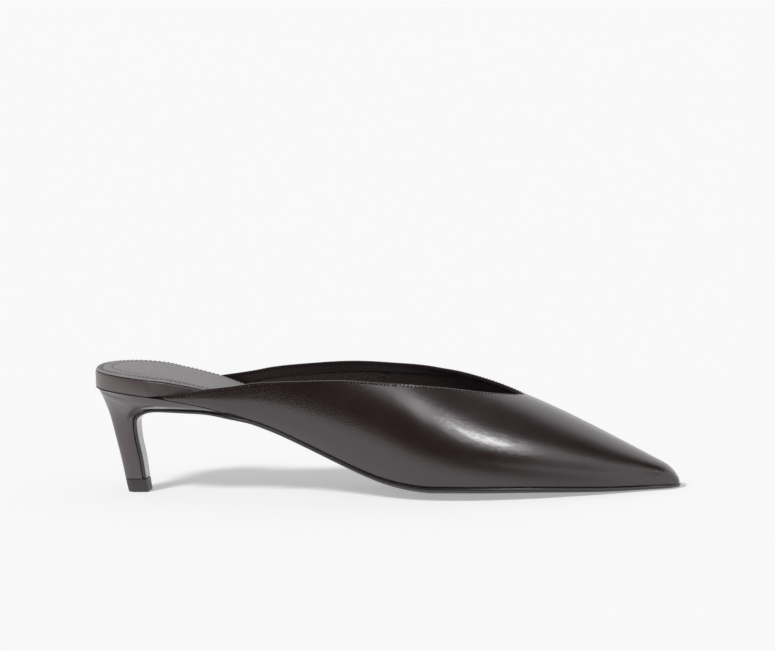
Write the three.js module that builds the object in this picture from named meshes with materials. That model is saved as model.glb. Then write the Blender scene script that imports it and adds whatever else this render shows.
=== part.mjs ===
// A backless pointed pump with a slim covered heel, for the right foot, standing empty.
// Millimetres. While a piece is worked out, X runs from the back of the seat to the toe, Y towards the
// inner side of the foot and Z up from the floor. The finished group is centred over its own footprint.
import * as THREE from 'three';

// Driving sizes of the whole shoe.
const footLength = 264; // back of the seat to the toe tip
const treadWidth = 71; // sole across the ball
const heelHeight = 49; // floor to the bed of the seat
const vampRise = 36.7; // bed to the crest of the upper at the throat
const throat = 195; // back of the seat to the point of the V
const wingStart = 36; // back of the seat to the ends of the wings
const seatRound = 28; // length over which the back of the seat rounds
const seatSquare = 2.2; // how blunt that rounding is, 2 being an ellipse
const toeRound = 7; // length over which the toe tip rounds
const camber = 4; // rise of the sole's edge over its middle at the ball
const flatShare = 0.2; // level middle of the tread, as a share of its width
const camberBend = 1.5; // how late the tread climbs from there to its edge

// Leather and board.
const upperWall = 1.6;
const skivedWall = 0.8; // the wings' pared ends
const skiveRun = 16;
const lastingWidth = 5; // the upper's edge, turned in under the insole
const wingLastingWidth = 2;
const toeLastingWidth = 2.6;
const lastingWall = 0.9;
const soleThickness = 2.2;
const soleReveal = 0.4; // the sole stands out past the upper
const randHeight = 7.2; // wrapped edge of the insole at the seat
const randRadius = 0.6;
const randStepRun = 8; // length over which the rand steps in at the wings' ends
const rimShare = 0.3; // the rim's radius, at most this share of a thin insole
const sockThickness = 1;
const sockToeThickness = 0.5;
const sockShoulder = 1.8; // width over which the sock's edge rounds
const sockCrown = 0.8; // how far the padded seat swells over its edge
const sockFade = 50; // length over which that padding thins out
const footbedShare = 0.7; // how much of the tread's camber the insole's face follows
const clearance = 0.3; // between pieces that are glued

// Heel tip.
const topLiftHeight = 5.9;
const topLiftWidth = 10;
const topLiftBevel = 0.5;
const topLiftSquare = 2.6;
const flapThickness = 1.5;
const waistRun = 8; // length over which the flap widens into the full sole
const flankTaper = 1.6; // how late the heel's sides draw in to its breast

// Smoothness of the faceted solids.
const upperStations = 34;
const toeStations = 7;
const upperRibs = 12;
const stationEase = 0.45; // stations behind the throat, drawn towards it
const bedStations = 42;
const bedColumns = 6;
const soleStations = 26;
const soleColumns = 3;
const flapStations = 28;
const heelSides = 12;
const heelFlankSteps = 8;
const heelColumns = 4;
const mergeGrid = 500; // points that share a 1/500 mm cell are one
const probe = 0.02; // step over which a slope is measured
const slopeStep = 0.0001; // share of a table's column over which a slope is taken

const lateral = -1;
const medial = 1;
const treadHalf = treadWidth / 2;

// Outline of the bed, from the shoe's line to its outer and inner edge: shares of half the tread.
const outline = table(
  ['at', 'outer', 'inner'],
  [
    [0.0, 0.71, 0.73],
    [0.14, 0.71, 0.69],
    [0.2, 0.675, 0.608],
    [0.27, 0.64, 0.525],
    [0.34, 0.64, 0.475],
    [0.41, 0.687, 0.48],
    [0.48, 0.788, 0.56],
    [0.55, 0.922, 0.712],
    [0.62, 1.0, 0.89],
    [0.69, 0.968, 0.992],
    [0.76, 0.835, 0.952],
    [0.83, 0.626, 0.822],
    [0.9, 0.388, 0.606],
    [0.96, 0.155, 0.35],
    [1.0, 0.045, 0.237],
  ],
);

// Under the foot: the sole's underside in its middle and the heel's height under the bed, as shares of the
// heel height; how far the sole's edge rises, as a share of the camber; and the sole's thickness as a share.
const underfoot = table(
  ['at', 'middle', 'seat', 'edge', 'sole'],
  [
    [0.0, 0.752, 0.217, 0.0, 0.62],
    [0.05, 0.752, 0.196, 0.0, 0.62],
    [0.1, 0.753, 0.162, 0.02, 0.62],
    [0.16, 0.755, 0.103, 0.05, 0.62],
    [0.2, 0.753, 0.054, 0.1, 0.62],
    [0.23, 0.733, 0.023, 0.14, 0.62],
    [0.27, 0.686, 0.0, 0.2, 0.62],
    [0.31, 0.61, 0.0, 0.25, 0.62],
    [0.36, 0.487, 0.0, 0.3, 0.64],
    [0.41, 0.353, 0.0, 0.38, 0.68],
    [0.46, 0.218, 0.0, 0.53, 0.76],
    [0.51, 0.097, 0.0, 0.76, 0.88],
    [0.56, 0.022, 0.0, 0.95, 1.0],
    [0.6, 0.0, 0.0, 1.0, 1.0],
    [0.69, 0.0, 0.0, 0.92, 1.0],
    [0.78, 0.0, 0.0, 0.7, 0.94],
    [0.84, 0.003, 0.0, 0.42, 0.86],
    [0.9, 0.007, 0.0, 0.18, 0.76],
    [0.96, 0.01, 0.0, 0.05, 0.68],
    [1.0, 0.012, 0.0, 0.0, 0.64],
  ],
);

// Cross-sections of the upper over the bed: height of the widest line and of the crest, as shares of the
// vamp's rise; how far the widest line stands out past the bed and where the crest runs, as shares of half
// the tread; and how full the shoulder is.
const sections = table(
  ['at', 'girth', 'crest', 'outerSwell', 'innerSwell', 'crestSide', 'fullness'],
  [
    [0.14, 0.02, 0.84, 0.022, 0.022, 0.0, 0.0],
    [0.2, 0.12, 1.06, 0.06, 0.08, 0.0, 0.0],
    [0.27, 0.27, 1.25, 0.11, 0.17, 0.0, 0.0],
    [0.34, 0.41, 1.44, 0.15, 0.25, 0.0, 0.0],
    [0.41, 0.51, 1.58, 0.165, 0.28, 0.0, 0.0],
    [0.48, 0.54, 1.625, 0.14, 0.24, 0.0, -0.01],
    [0.55, 0.46, 1.55, 0.1, 0.155, 0.01, -0.02],
    [0.62, 0.355, 1.355, 0.07, 0.09, 0.045, -0.03],
    [0.69, 0.285, 1.14, 0.062, 0.065, 0.07, -0.04],
    [0.76, 0.245, 0.94, 0.06, 0.058, 0.082, -0.035],
    [0.83, 0.205, 0.73, 0.055, 0.053, 0.09, -0.02],
    [0.9, 0.165, 0.5, 0.044, 0.044, 0.094, 0.0],
    [0.96, 0.125, 0.29, 0.03, 0.03, 0.094, 0.02],
    [1.0, 0.08, 0.15, 0.015, 0.015, 0.06, 0.03],
  ],
);

// The topline: degrees up each cross-section from its widest line, 90 being the crest. Here `at` is the
// share of the way from the wings' ends to the throat.
const collar = table(
  ['at', 'outer', 'inner'],
  [
      [0.0, 0.6, 0.6],
      [0.05, 3.5, 3.3],
      [0.11, 5.9, 5.7],
      [0.22, 9.2, 9.8],
      [0.34, 14.0, 15.6],
      [0.455, 21.8, 24.4],
      [0.57, 32.0, 35.3],
      [0.69, 44.3, 49.6],
      [0.8, 56.0, 62.9],
      [0.88, 64.6, 71.9],
      [0.94, 73.2, 79.3],
      [0.975, 81.0, 84.6],
      [1.0, 90.0, 90.0],
  ],
);

// The insole's thickness over the bed, as a share of the rand.
const insoleDepth = table(
  ['at', 'depth'],
  [
    [0.0, 1.0],
    [0.2, 1.0],
    [0.27, 0.93],
    [0.34, 0.75],
    [0.41, 0.56],
    [0.48, 0.43],
    [0.55, 0.37],
    [0.76, 0.35],
    [1.0, 0.3],
  ],
);

// The heel's breast, from the top lift up round the bend under the seat: how far forward as a share of the
// length, how high as a share of the heel over its top lift, how wide to each side as a share of half the
// tread.
const breast = table(
  ['forward', 'height', 'width'],
  [
    [0.0773, 0.0, 0.132],
    [0.0723, 0.239, 0.137],
    [0.0675, 0.393, 0.144],
    [0.0648, 0.544, 0.156],
    [0.0655, 0.621, 0.17],
    [0.0704, 0.675, 0.187],
    [0.081, 0.72, 0.207],
  ],
);

// The flap under the seat, back from the full sole: its width to each side as a share of half the tread.
const flap = table(
  ['at', 'width'],
  [
    [0.1, 0.232],
    [0.13, 0.275],
    [0.165, 0.37],
    [0.205, 0.5],
    [0.245, 0.625],
  ],
);

// Levels of the heel, from the top lift to the seat: where each starts on the breast (rows of its path),
// how high it reaches at the back as a share of the heel over its top lift, how wide and how far forward its
// widest point is, as shares of half the tread and of the length, and how square its back is.
const heelLevels = table(
  ['path', 'height', 'width', 'widest', 'square'],
  [
    [0.0, 0.0, 0.139, 0.063, 2.7],
    [0.5, 0.124, 0.141, 0.061, 2.6],
    [1.0, 0.25, 0.145, 0.059, 2.6],
    [2.0, 0.405, 0.155, 0.055, 2.5],
    [3.0, 0.554, 0.175, 0.052, 2.4],
    [4.0, 0.679, 0.22, 0.053, 2.3],
    [5.0, 0.777, 0.295, 0.059, 2.2],
    [6.0, 0.845, 0.39, 0.068, 2.1],
    [7.0, 0.897, 0.49, 0.08, 2.0],
    [8.0, 0.935, 0.58, 0.092, 2.0],
    [9.0, 0.962, 0.645, 0.103, 2.0],
    [10.0, 0.982, 0.688, 0.11, 2.0],
  ],
);

// The heel's back curve: how far the back stands in from the seat's back, as a share of the length, at each
// share of the heel height.
const heelBack = table(
  ['height', 'inset'],
  [
    [0.0, 0.049],
    [0.12, 0.0445],
    [0.24, 0.0405],
    [0.36, 0.036],
    [0.47, 0.0315],
    [0.58, 0.0268],
    [0.69, 0.0226],
    [0.79, 0.017],
    [0.88, 0.0112],
    [0.95, 0.0058],
    [1.0, 0.0025],
  ],
);

// Tables and curves.
function table(columns, rows) {
  const result = {};
  columns.forEach((name, i) => {
    result[name] = rows.map((row) => row[i]);
  });
  return result;
}

// Natural cubic spline through points, straight beyond its ends.
function spline(xs, ys) {
  const n = xs.length;
  const bend = new Array(n).fill(0);
  const carry = new Array(n).fill(0);
  for (let i = 1; i < n - 1; i += 1) {
    const before = xs[i] - xs[i - 1];
    const after = xs[i + 1] - xs[i];
    const pivot = 2 * (before + after) - before * carry[i - 1];
    const slopes = (ys[i + 1] - ys[i]) / after - (ys[i] - ys[i - 1]) / before;
    carry[i] = after / pivot;
    bend[i] = (6 * slopes - before * bend[i - 1]) / pivot;
  }
  for (let i = n - 2; i > 0; i -= 1) bend[i] -= carry[i] * bend[i + 1];
  return (x) => {
    let i = 0;
    while (i < n - 2 && x > xs[i + 1]) i += 1;
    const step = xs[i + 1] - xs[i];
    const t = THREE.MathUtils.clamp((x - xs[i]) / step, 0, 1);
    const s = 1 - t;
    const curved = ((s ** 3 - s) * bend[i] + (t ** 3 - t) * bend[i + 1]) * (step ** 2 / 6);
    return s * ys[i] + t * ys[i + 1] + curved;
  };
}

// The spline's own slopes, held back where it would overshoot its points, so that a flat stretch stays flat.
function steady(xs, ys) {
  const n = xs.length;
  const smooth = spline(xs, ys);
  const rise = xs.slice(1).map((x, i) => (ys[i + 1] - ys[i]) / (x - xs[i]));
  const slope = xs.map((x, i) => {
    if (i === 0 || i === n - 1) return rise[i === 0 ? 0 : n - 2];
    const limit = rise[i - 1] * rise[i] <= 0 ? 0 : 3 * Math.min(Math.abs(rise[i - 1]), Math.abs(rise[i]));
    const free = (smooth(x + slopeStep) - smooth(x - slopeStep)) / (2 * slopeStep);
    return THREE.MathUtils.clamp(free, rise[i] < 0 ? -limit : 0, rise[i] > 0 ? limit : 0);
  });
  return (x) => {
    let i = 0;
    while (i < n - 2 && x > xs[i + 1]) i += 1;
    const step = xs[i + 1] - xs[i];
    const t = THREE.MathUtils.clamp((x - xs[i]) / step, 0, 1);
    const held = (1 - t) ** 2 * ((1 + 2 * t) * ys[i] + t * step * slope[i]);
    return held + t ** 2 * ((3 - 2 * t) * ys[i + 1] - (1 - t) * step * slope[i + 1]);
  };
}

function alongFoot(source, column, scale, kind = spline) {
  const curve = kind(source.at, source[column]);
  return (x) => scale * curve(x / footLength);
}

const outerEdge = alongFoot(outline, 'outer', treadHalf);
const innerEdge = alongFoot(outline, 'inner', treadHalf);
const middleHeight = alongFoot(underfoot, 'middle', heelHeight, steady);
const seatHeight = alongFoot(underfoot, 'seat', heelHeight, steady);
const edgeRise = alongFoot(underfoot, 'edge', camber);
const soleDepth = alongFoot(underfoot, 'sole', soleThickness, steady);
const girthRise = alongFoot(sections, 'girth', vampRise);
const crestRise = alongFoot(sections, 'crest', vampRise);
const outerSwell = alongFoot(sections, 'outerSwell', treadHalf);
const innerSwell = alongFoot(sections, 'innerSwell', treadHalf);
const crestSide = alongFoot(sections, 'crestSide', treadHalf);
const fullness = alongFoot(sections, 'fullness', 1);
const insoleHeight = alongFoot(insoleDepth, 'depth', randHeight);
const flapWidth = alongFoot(flap, 'width', treadHalf);
const outerCollar = spline(collar.at, collar.outer);
const innerCollar = spline(collar.at, collar.inner);
const heelInset = spline(heelBack.height, heelBack.inset);

// The bed: the surface on which the upper's lasting edge and the insole lie.
function toeClosing(x) {
  const run = Math.max(0, (x - footLength + toeRound) / toeRound);
  return Math.sqrt(Math.max(0, 1 - run ** 2));
}

function seatClosing(x) {
  const run = Math.max(0, (seatRound - x) / seatRound);
  return Math.max(0, 1 - run ** seatSquare) ** (1 / seatSquare);
}

function middle(x) {
  return (innerEdge(x) - outerEdge(x)) / 2;
}

function halfWidth(x) {
  return ((innerEdge(x) + outerEdge(x)) / 2) * toeClosing(x) * seatClosing(x);
}

function edgeY(x, side) {
  return middle(x) + side * halfWidth(x);
}

function bedEdge(x) {
  return middleHeight(x) + edgeRise(x) + soleDepth(x) + clearance + seatHeight(x);
}

// How far the bed lies under its own edge: level in the middle, then rising to the edge.
function dish(x, y) {
  const out = Math.abs(y - middle(x)) / Math.max(halfWidth(x), clearance);
  const climb = Math.min(1, Math.max(0, (out - flatShare) / (1 - flatShare)));
  return edgeRise(x) * (1 - climb ** camberBend);
}

function bed(x, y) {
  return bedEdge(x) - dish(x, y);
}

// Direction into the bed from its edge, seen from above.
function inward(x, side) {
  const step = Math.min(probe, Math.min(x, footLength - x) / 2);
  const slope = (edgeY(x + step, side) - edgeY(x - step, side)) / (2 * step);
  return new THREE.Vector2(side * slope, -side).normalize();
}

function edgePoint(x, side, inset) {
  if (x <= 0) return new THREE.Vector2(inset, middle(0));
  if (x >= footLength) return new THREE.Vector2(footLength - inset, middle(footLength));
  const into = inward(x, side);
  return new THREE.Vector2(x + inset * into.x, edgeY(x, side) + inset * into.y);
}

// Cross-sections of the upper.
function crestY(x) {
  return middle(x) + (crestSide(x) - middle(x)) * toeClosing(x);
}

function swell(x, side) {
  return (side === lateral ? outerSwell(x) : innerSwell(x)) * toeClosing(x);
}

function footAngle(x, side) {
  const reach = side * (edgeY(x, side) - crestY(x)) + swell(x, side);
  return Math.acos(1 - swell(x, side) / reach);
}

function collarAngle(x, side) {
  if (x >= throat) return Math.PI / 2;
  const share = (x - wingStart) / (throat - wingStart);
  return THREE.MathUtils.degToRad(side === lateral ? outerCollar(share) : innerCollar(share));
}

function sectionPoint(x, side, angle) {
  const reach = side * (edgeY(x, side) - crestY(x)) + swell(x, side);
  const girth = bedEdge(x) + girthRise(x) * toeClosing(x);
  const crest = bedEdge(x) + crestRise(x) * toeClosing(x);
  if (angle < 0) {
    const drop = (girth - bedEdge(x)) / Math.sin(footAngle(x, side));
    const y = crestY(x) + side * reach * Math.cos(angle);
    return new THREE.Vector3(x, y, girth + drop * Math.sin(angle));
  }
  const full = 1 + fullness(x) * Math.sin(2 * angle) ** 2;
  const out = side * reach * Math.cos(angle) * full;
  return new THREE.Vector3(x, crestY(x) + out, girth + (crest - girth) * Math.sin(angle) * full);
}

function sectionNormal(x, side, angle) {
  const step = Math.min(probe, (footLength - x) / 2);
  const turn = probe / vampRise;
  const along = sectionPoint(x + step, side, angle).sub(sectionPoint(x - step, side, angle));
  const around = sectionPoint(x, side, angle + turn).sub(sectionPoint(x, side, angle - turn));
  const normal = along.cross(around).normalize();
  const outwards = side * normal.y * Math.cos(angle) + normal.z * Math.sin(angle);
  return outwards < 0 ? normal.negate() : normal;
}

function towardToe(x) {
  return THREE.MathUtils.smoothstep(x, throat, footLength);
}

function skived(x) {
  return THREE.MathUtils.smoothstep(x, wingStart, wingStart + skiveRun);
}

function wallAt(x) {
  return THREE.MathUtils.lerp(skivedWall, upperWall, skived(x));
}

function lastingAt(x) {
  const width = THREE.MathUtils.lerp(wingLastingWidth, lastingWidth, skived(x));
  return THREE.MathUtils.lerp(width, toeLastingWidth, towardToe(x));
}

// Thickness of the lasting edge: never more than half of a low wing's height.
function lastingDepth(x) {
  const height = Math.min(...[lateral, medial].map((side) => {
    return sectionPoint(x, side, collarAngle(x, side)).z - bedEdge(x);
  }));
  return Math.min(lastingWall, height / 2);
}

// One side of the upper at one station: up the outside, down the inside, in along the lasting edge.
function upperLoop(x, side) {
  const depth = x < footLength ? lastingDepth(x) : lastingWall;
  const lip = edgePoint(x, side, lastingAt(x));
  const lipHeight = bed(lip.x, lip.y);
  const lipPoints = [depth, 0].map((rise) => new THREE.Vector3(lip.x, lip.y, lipHeight + rise));
  if (x >= footLength) {
    const tip = new THREE.Vector3(footLength, middle(footLength), bedEdge(footLength));
    const inside = tip.clone().add(new THREE.Vector3(-upperWall, 0, depth));
    const repeat = (point) => Array.from({ length: upperRibs + 1 }, () => point.clone());
    return [...repeat(tip), ...repeat(inside), ...lipPoints];
  }
  const foot = -footAngle(x, side);
  const top = collarAngle(x, side);
  const outer = [];
  const inner = [];
  for (let k = 0; k <= upperRibs; k += 1) {
    const angle = THREE.MathUtils.lerp(foot, top, k / upperRibs);
    const point = sectionPoint(x, side, angle);
    outer.push(point);
    inner.push(point.clone().addScaledVector(sectionNormal(x, side, angle), -wallAt(x)));
  }
  const floor = bed(inner[0].x, inner[0].y) + depth;
  const lowest = inner[0].z;
  const stretch = (inner[upperRibs].z - floor) / (inner[upperRibs].z - lowest);
  for (const point of inner) point.z = floor + (point.z - lowest) * stretch;
  return [...outer, ...inner.reverse(), ...lipPoints];
}

// Stations along the upper: evenly to the throat, evenly on to the toe, then closing round its tip.
function upperXs() {
  const toeStart = footLength - toeRound;
  const behind = Math.round(upperStations * ((throat - wingStart) / (toeStart - wingStart)));
  const ahead = upperStations - behind;
  const xs = [];
  for (let i = 0; i < behind; i += 1) {
    const even = i / behind;
    const share = THREE.MathUtils.lerp(even, Math.sin(even * (Math.PI / 2)), stationEase);
    xs.push(THREE.MathUtils.lerp(wingStart, throat, share));
  }
  for (let i = 0; i < ahead; i += 1) xs.push(THREE.MathUtils.lerp(throat, toeStart, i / ahead));
  for (let i = 0; i < toeStations; i += 1) {
    xs.push(toeStart + toeRound * Math.sin((i / toeStations) * (Math.PI / 2)));
  }
  xs.push(footLength);
  return xs;
}

// Mesh building.
class Shell {
  constructor() {
    this.points = [];
    this.faces = [];
  }

  add(point) {
    this.points.push(point);
    return this.points.length - 1;
  }

  quad(a, b, c, d) {
    this.faces.push([a, b, c], [a, c, d]);
  }

  // Joins two rows of points, closing them into rings if asked.
  join(rowA, rowB, ring = true, skip = -1) {
    const count = ring ? rowA.length : rowA.length - 1;
    for (let i = 0; i < count; i += 1) {
      const next = (i + 1) % rowA.length;
      if (i !== skip) this.quad(rowA[i], rowA[next], rowB[next], rowB[i]);
    }
  }

  mesh(name, material) {
    const key = (point) => point.toArray().map((value) => Math.round(value * mergeGrid)).join();
    const seen = new Map();
    const places = this.points.map((point) => {
      if (!seen.has(key(point))) seen.set(key(point), seen.size);
      return seen.get(key(point));
    });
    const merged = [];
    this.points.forEach((point, i) => {
      merged[places[i]] = point;
    });
    const faces = this.faces
      .map((face) => face.map((i) => places[i]))
      .filter(([a, b, c]) => a !== b && b !== c && c !== a);
    const volume = faces.reduce((sum, [a, b, c]) => {
      return sum + merged[a].clone().cross(merged[b]).dot(merged[c]);
    }, 0);
    const outward = volume > 0 ? faces : faces.map(([a, b, c]) => [a, c, b]);
    const geometry = new THREE.BufferGeometry();
    geometry.setFromPoints(merged);
    geometry.setIndex(outward.flat());
    geometry.computeVertexNormals();
    const result = new THREE.Mesh(geometry, material);
    result.name = name;
    return result;
  }
}

// Fills between the two sides of a row pair with a grid that follows a surface.
function capGrid(shell, outerRow, innerRow, divisions, heightAt) {
  const rows = outerRow.map((start, i) => {
    const a = shell.points[start];
    const b = shell.points[innerRow[i]];
    const row = [start];
    for (let k = 1; k < divisions; k += 1) {
      const point = a.clone().lerp(b, k / divisions);
      if (heightAt) point.z = heightAt(point, i);
      row.push(shell.add(point));
    }
    row.push(innerRow[i]);
    return row;
  });
  for (let i = 0; i < rows.length - 1; i += 1) shell.join(rows[i], rows[i + 1], false);
}

function makeUpper(material) {
  const shell = new Shell();
  const xs = upperXs();
  const rows = { [lateral]: [], [medial]: [] };
  for (const side of [lateral, medial]) {
    rows[side] = xs.map((x) => upperLoop(x, side).map((point) => shell.add(point)));
  }
  xs.forEach((x, i) => {
    if (x < throat) return;
    rows[medial][i][upperRibs] = rows[lateral][i][upperRibs];
    rows[medial][i][upperRibs + 1] = rows[lateral][i][upperRibs + 1];
  });
  for (const side of [lateral, medial]) {
    for (let i = 0; i < xs.length - 1; i += 1) {
      const crestFace = xs[i] >= throat ? upperRibs : -1;
      const pair = [rows[side][i], rows[side][i + 1]];
      if (side === medial) pair.reverse();
      shell.join(pair[0], pair[1], true, crestFace);
    }
    const end = rows[side][0];
    const outer = end.slice(0, upperRibs + 1);
    const inner = end.slice(upperRibs + 1, 2 * upperRibs + 2).reverse();
    const pair = side === lateral ? [inner, outer] : [outer, inner];
    shell.join(pair[0], pair[1], false);
    const lip = [end[0], end[2 * upperRibs + 3], end[2 * upperRibs + 2], inner[0]];
    if (side === medial) lip.reverse();
    shell.quad(...lip);
  }
  return shell.mesh('upper', material);
}

// Stations of the bed from toe to seat, closer where it rounds.
function bedXs() {
  const toeStart = footLength - toeRound;
  const round = (count, at) => {
    return Array.from({ length: count }, (_, i) => at(Math.cos((i / count) * (Math.PI / 2))));
  };
  const middleCount = bedStations - toeStations - heelSides;
  const between = Array.from({ length: middleCount + 1 }, (_, i) => {
    return THREE.MathUtils.lerp(toeStart, seatRound, i / middleCount);
  });
  const toe = round(toeStations, (cosine) => toeStart + toeRound * cosine);
  const seat = round(heelSides, (cosine) => seatRound * (1 - cosine)).reverse();
  return [...toe, ...between, ...seat.slice(0, -1), 0];
}

// A plate on the bed, closed by rings that run round its outline and a grid over its top and bottom.
function makePlate(name, material, rings, bottomAt, topAt) {
  const shell = new Shell();
  const xs = bedXs();
  const sides = { [lateral]: [], [medial]: [] };
  for (const side of [lateral, medial]) {
    sides[side] = rings.map(({ inset, height }) => xs.map((x) => {
      const place = edgePoint(x, side, inset(x));
      return shell.add(new THREE.Vector3(place.x, place.y, height(place.x, place.y)));
    }));
    for (let k = 0; k < rings.length - 1; k += 1) {
      const pair = [sides[side][k], sides[side][k + 1]];
      if (side === medial) pair.reverse();
      shell.join(pair[0], pair[1], false);
    }
  }
  const last = rings.length - 1;
  capGrid(shell, sides[lateral][0], sides[medial][0], bedColumns, (point) => bottomAt(point.x, point.y));
  capGrid(shell, sides[medial][last], sides[lateral][last], bedColumns, (point) => topAt(point.x, point.y));
  return shell.mesh(name, material);
}

// Insole: back from the wings' wall, with room for the lasting edge under its own edge.
function insoleInset(x) {
  return (upperWall + clearance) * randStep(x) + clearance * towardToe(x);
}

function randStep(x) {
  return THREE.MathUtils.smoothstep(x, wingStart - randStepRun, wingStart);
}

function lastingRoom(x) {
  return (lastingWall + clearance) * randStep(x);
}

function insoleTop(x) {
  return bedEdge(x) + insoleHeight(x);
}

function rimRadius(x) {
  return Math.min(randRadius, insoleHeight(x) * rimShare);
}

// The insole's upper face follows the dished bed only where the foot widens.
function footbed(x, y) {
  return insoleTop(x) - dish(x, y) * footbedShare;
}

function makeInsole(material) {
  const roundCorner = 1 - Math.SQRT1_2;
  const roomInset = (x) => Math.max(lastingAt(x), insoleInset(x)) + clearance;
  const low = (x, y) => bed(x, y);
  const raised = (x, y) => bed(x, y) + lastingRoom(x);
  const rings = [
    { inset: (x) => roomInset(x) + clearance, height: low },
    { inset: roomInset, height: raised },
    { inset: insoleInset, height: raised },
    { inset: insoleInset, height: (x) => insoleTop(x) - rimRadius(x) },
    {
      inset: (x) => insoleInset(x) + rimRadius(x) * roundCorner,
      height: (x) => insoleTop(x) - rimRadius(x) * roundCorner,
    },
    { inset: (x) => insoleInset(x) + rimRadius(x), height: footbed },
  ];
  return makePlate('insole', material, rings, low, footbed);
}

// Sock: its edge rounds up from the rand, and its padding swells inside that and thins out under the arch.
function sockEdge(x) {
  return insoleInset(x) + clearance * (1 + 2 * towardToe(x));
}

function padding(x, y) {
  const inset = sockEdge(x);
  const back = Math.max(0, (seatRound - x) / (seatRound - inset));
  const side = Math.abs(y - middle(x)) / ((innerEdge(x) + outerEdge(x)) / 2 - inset);
  const out = Math.min(1, Math.hypot(back, side));
  const fade = 1 - THREE.MathUtils.smoothstep(x, seatRound / 2, seatRound / 2 + sockFade);
  return sockCrown * fade * (1 - out ** 4);
}

function sockDepth(x) {
  return THREE.MathUtils.lerp(sockThickness, sockToeThickness, towardToe(x));
}

function makeSock(material) {
  const under = (x, y) => footbed(x, y) + clearance;
  const over = (x, y) => under(x, y) + sockDepth(x) + padding(x, y);
  const shoulder = (turn) => ({
    inset: (x) => sockEdge(x) + sockShoulder * (1 - Math.cos(turn)),
    height: (x, y) => THREE.MathUtils.lerp(under(x, y), over(x, y), Math.sin(turn)),
  });
  const rings = [
    { inset: (x) => sockEdge(x) + clearance, height: under },
    ...[1, 3, 5, 7, 9].map((share) => shoulder((share / 9) * (Math.PI / 2))),
  ];
  return makePlate('sock', material, rings, under, over);
}

// The joint between heel and flap, seen from the side: up the breast, round the bend, forward under the seat.
function soleTopEdge(x) {
  return middleHeight(x) + edgeRise(x) + soleDepth(x);
}

function aboveLift(share) {
  return THREE.MathUtils.lerp(topLiftHeight + clearance, heelHeight, share);
}

const flapEnd = flap.at[flap.at.length - 1] * footLength;
const breastRows = breast.forward.map((forward, i) => {
  return [forward * footLength, aboveLift(breast.height[i]), breast.width[i] * treadHalf];
});
const seatRows = flap.at.map((at) => {
  const x = at * footLength;
  return [x, soleTopEdge(x), flapWidth(x)];
});
const pathRows = [...breastRows, ...seatRows];
const pathIndex = pathRows.map((row, i) => i);
const pathX = spline(pathIndex, pathRows.map((row) => row[0]));
const pathZ = spline(pathIndex, pathRows.map((row) => row[1]));
const pathWidth = spline(pathIndex, pathRows.map((row) => row[2]));

// Direction out of the heel at a place on the path, in the shoe's long plane.
function pathNormal(index) {
  const ahead = index + probe;
  const behind = index - probe;
  return new THREE.Vector2(pathZ(ahead) - pathZ(behind), pathX(behind) - pathX(ahead)).normalize();
}

// Outsole: a strip from the toe to the waist, under the seat and down the breast.
const halfShares = Array.from({ length: soleColumns + 1 }, (_, k) => {
  return THREE.MathUtils.lerp(flatShare, 1, k / soleColumns);
});
const acrossShares = [...halfShares.map((share) => -share).reverse(), 0, ...halfShares];

function soleRow(shell, x) {
  const top = [];
  const under = [];
  const slope = (soleTopEdge(x + probe) - soleTopEdge(x - probe)) / (2 * probe);
  const drop = soleDepth(x) * Math.sqrt(1 + slope ** 2);
  for (const across of acrossShares) {
    const side = across < 0 ? lateral : medial;
    const edge = edgePoint(x, side, -soleReveal);
    const place = new THREE.Vector2(x, middle(x)).lerp(edge, Math.abs(across));
    if (x >= footLength) place.set(footLength + soleReveal, middle(footLength));
    const height = soleTopEdge(x) - dish(place.x, place.y);
    top.push(shell.add(new THREE.Vector3(place.x, place.y, height)));
    under.push(shell.add(new THREE.Vector3(place.x, place.y, height - drop)));
  }
  return [...top, ...under.reverse()];
}

function flapRow(shell, index) {
  const out = pathNormal(index);
  const blend = THREE.MathUtils.smoothstep(index, breastRows.length, pathRows.length - 1);
  const depth = THREE.MathUtils.lerp(flapThickness, soleDepth(flapEnd), blend);
  const top = [];
  const under = [];
  for (const across of acrossShares) {
    const y = across * pathWidth(index) + middle(flapEnd) * blend;
    const drop = index > breastRows.length ? dish(pathX(index), y) * blend : 0;
    const place = new THREE.Vector3(pathX(index), y, pathZ(index) - drop);
    top.push(shell.add(place));
    under.push(shell.add(new THREE.Vector3(place.x + out.x * depth, y, place.z + out.y * depth)));
  }
  return [...top, ...under.reverse()];
}

function makeOutsole(material) {
  const shell = new Shell();
  const rows = [];
  const toeStart = footLength - toeRound;
  for (let i = toeStations; i > 0; i -= 1) {
    rows.push(soleRow(shell, toeStart + toeRound * Math.sin((i / toeStations) * (Math.PI / 2))));
  }
  const fullStart = flapEnd + waistRun;
  for (let i = 0; i <= soleStations; i += 1) {
    rows.push(soleRow(shell, THREE.MathUtils.lerp(toeStart, fullStart, i / soleStations)));
  }
  for (let i = flapStations; i >= 0; i -= 1) {
    rows.push(flapRow(shell, ((pathRows.length - 1) * i) / flapStations));
  }
  for (let i = 0; i < rows.length - 1; i += 1) shell.join(rows[i], rows[i + 1]);
  const end = rows[rows.length - 1];
  const half = acrossShares.length;
  shell.join(end.slice(0, half), end.slice(half).reverse(), false);
  return shell.mesh('outsole', material);
}

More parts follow.
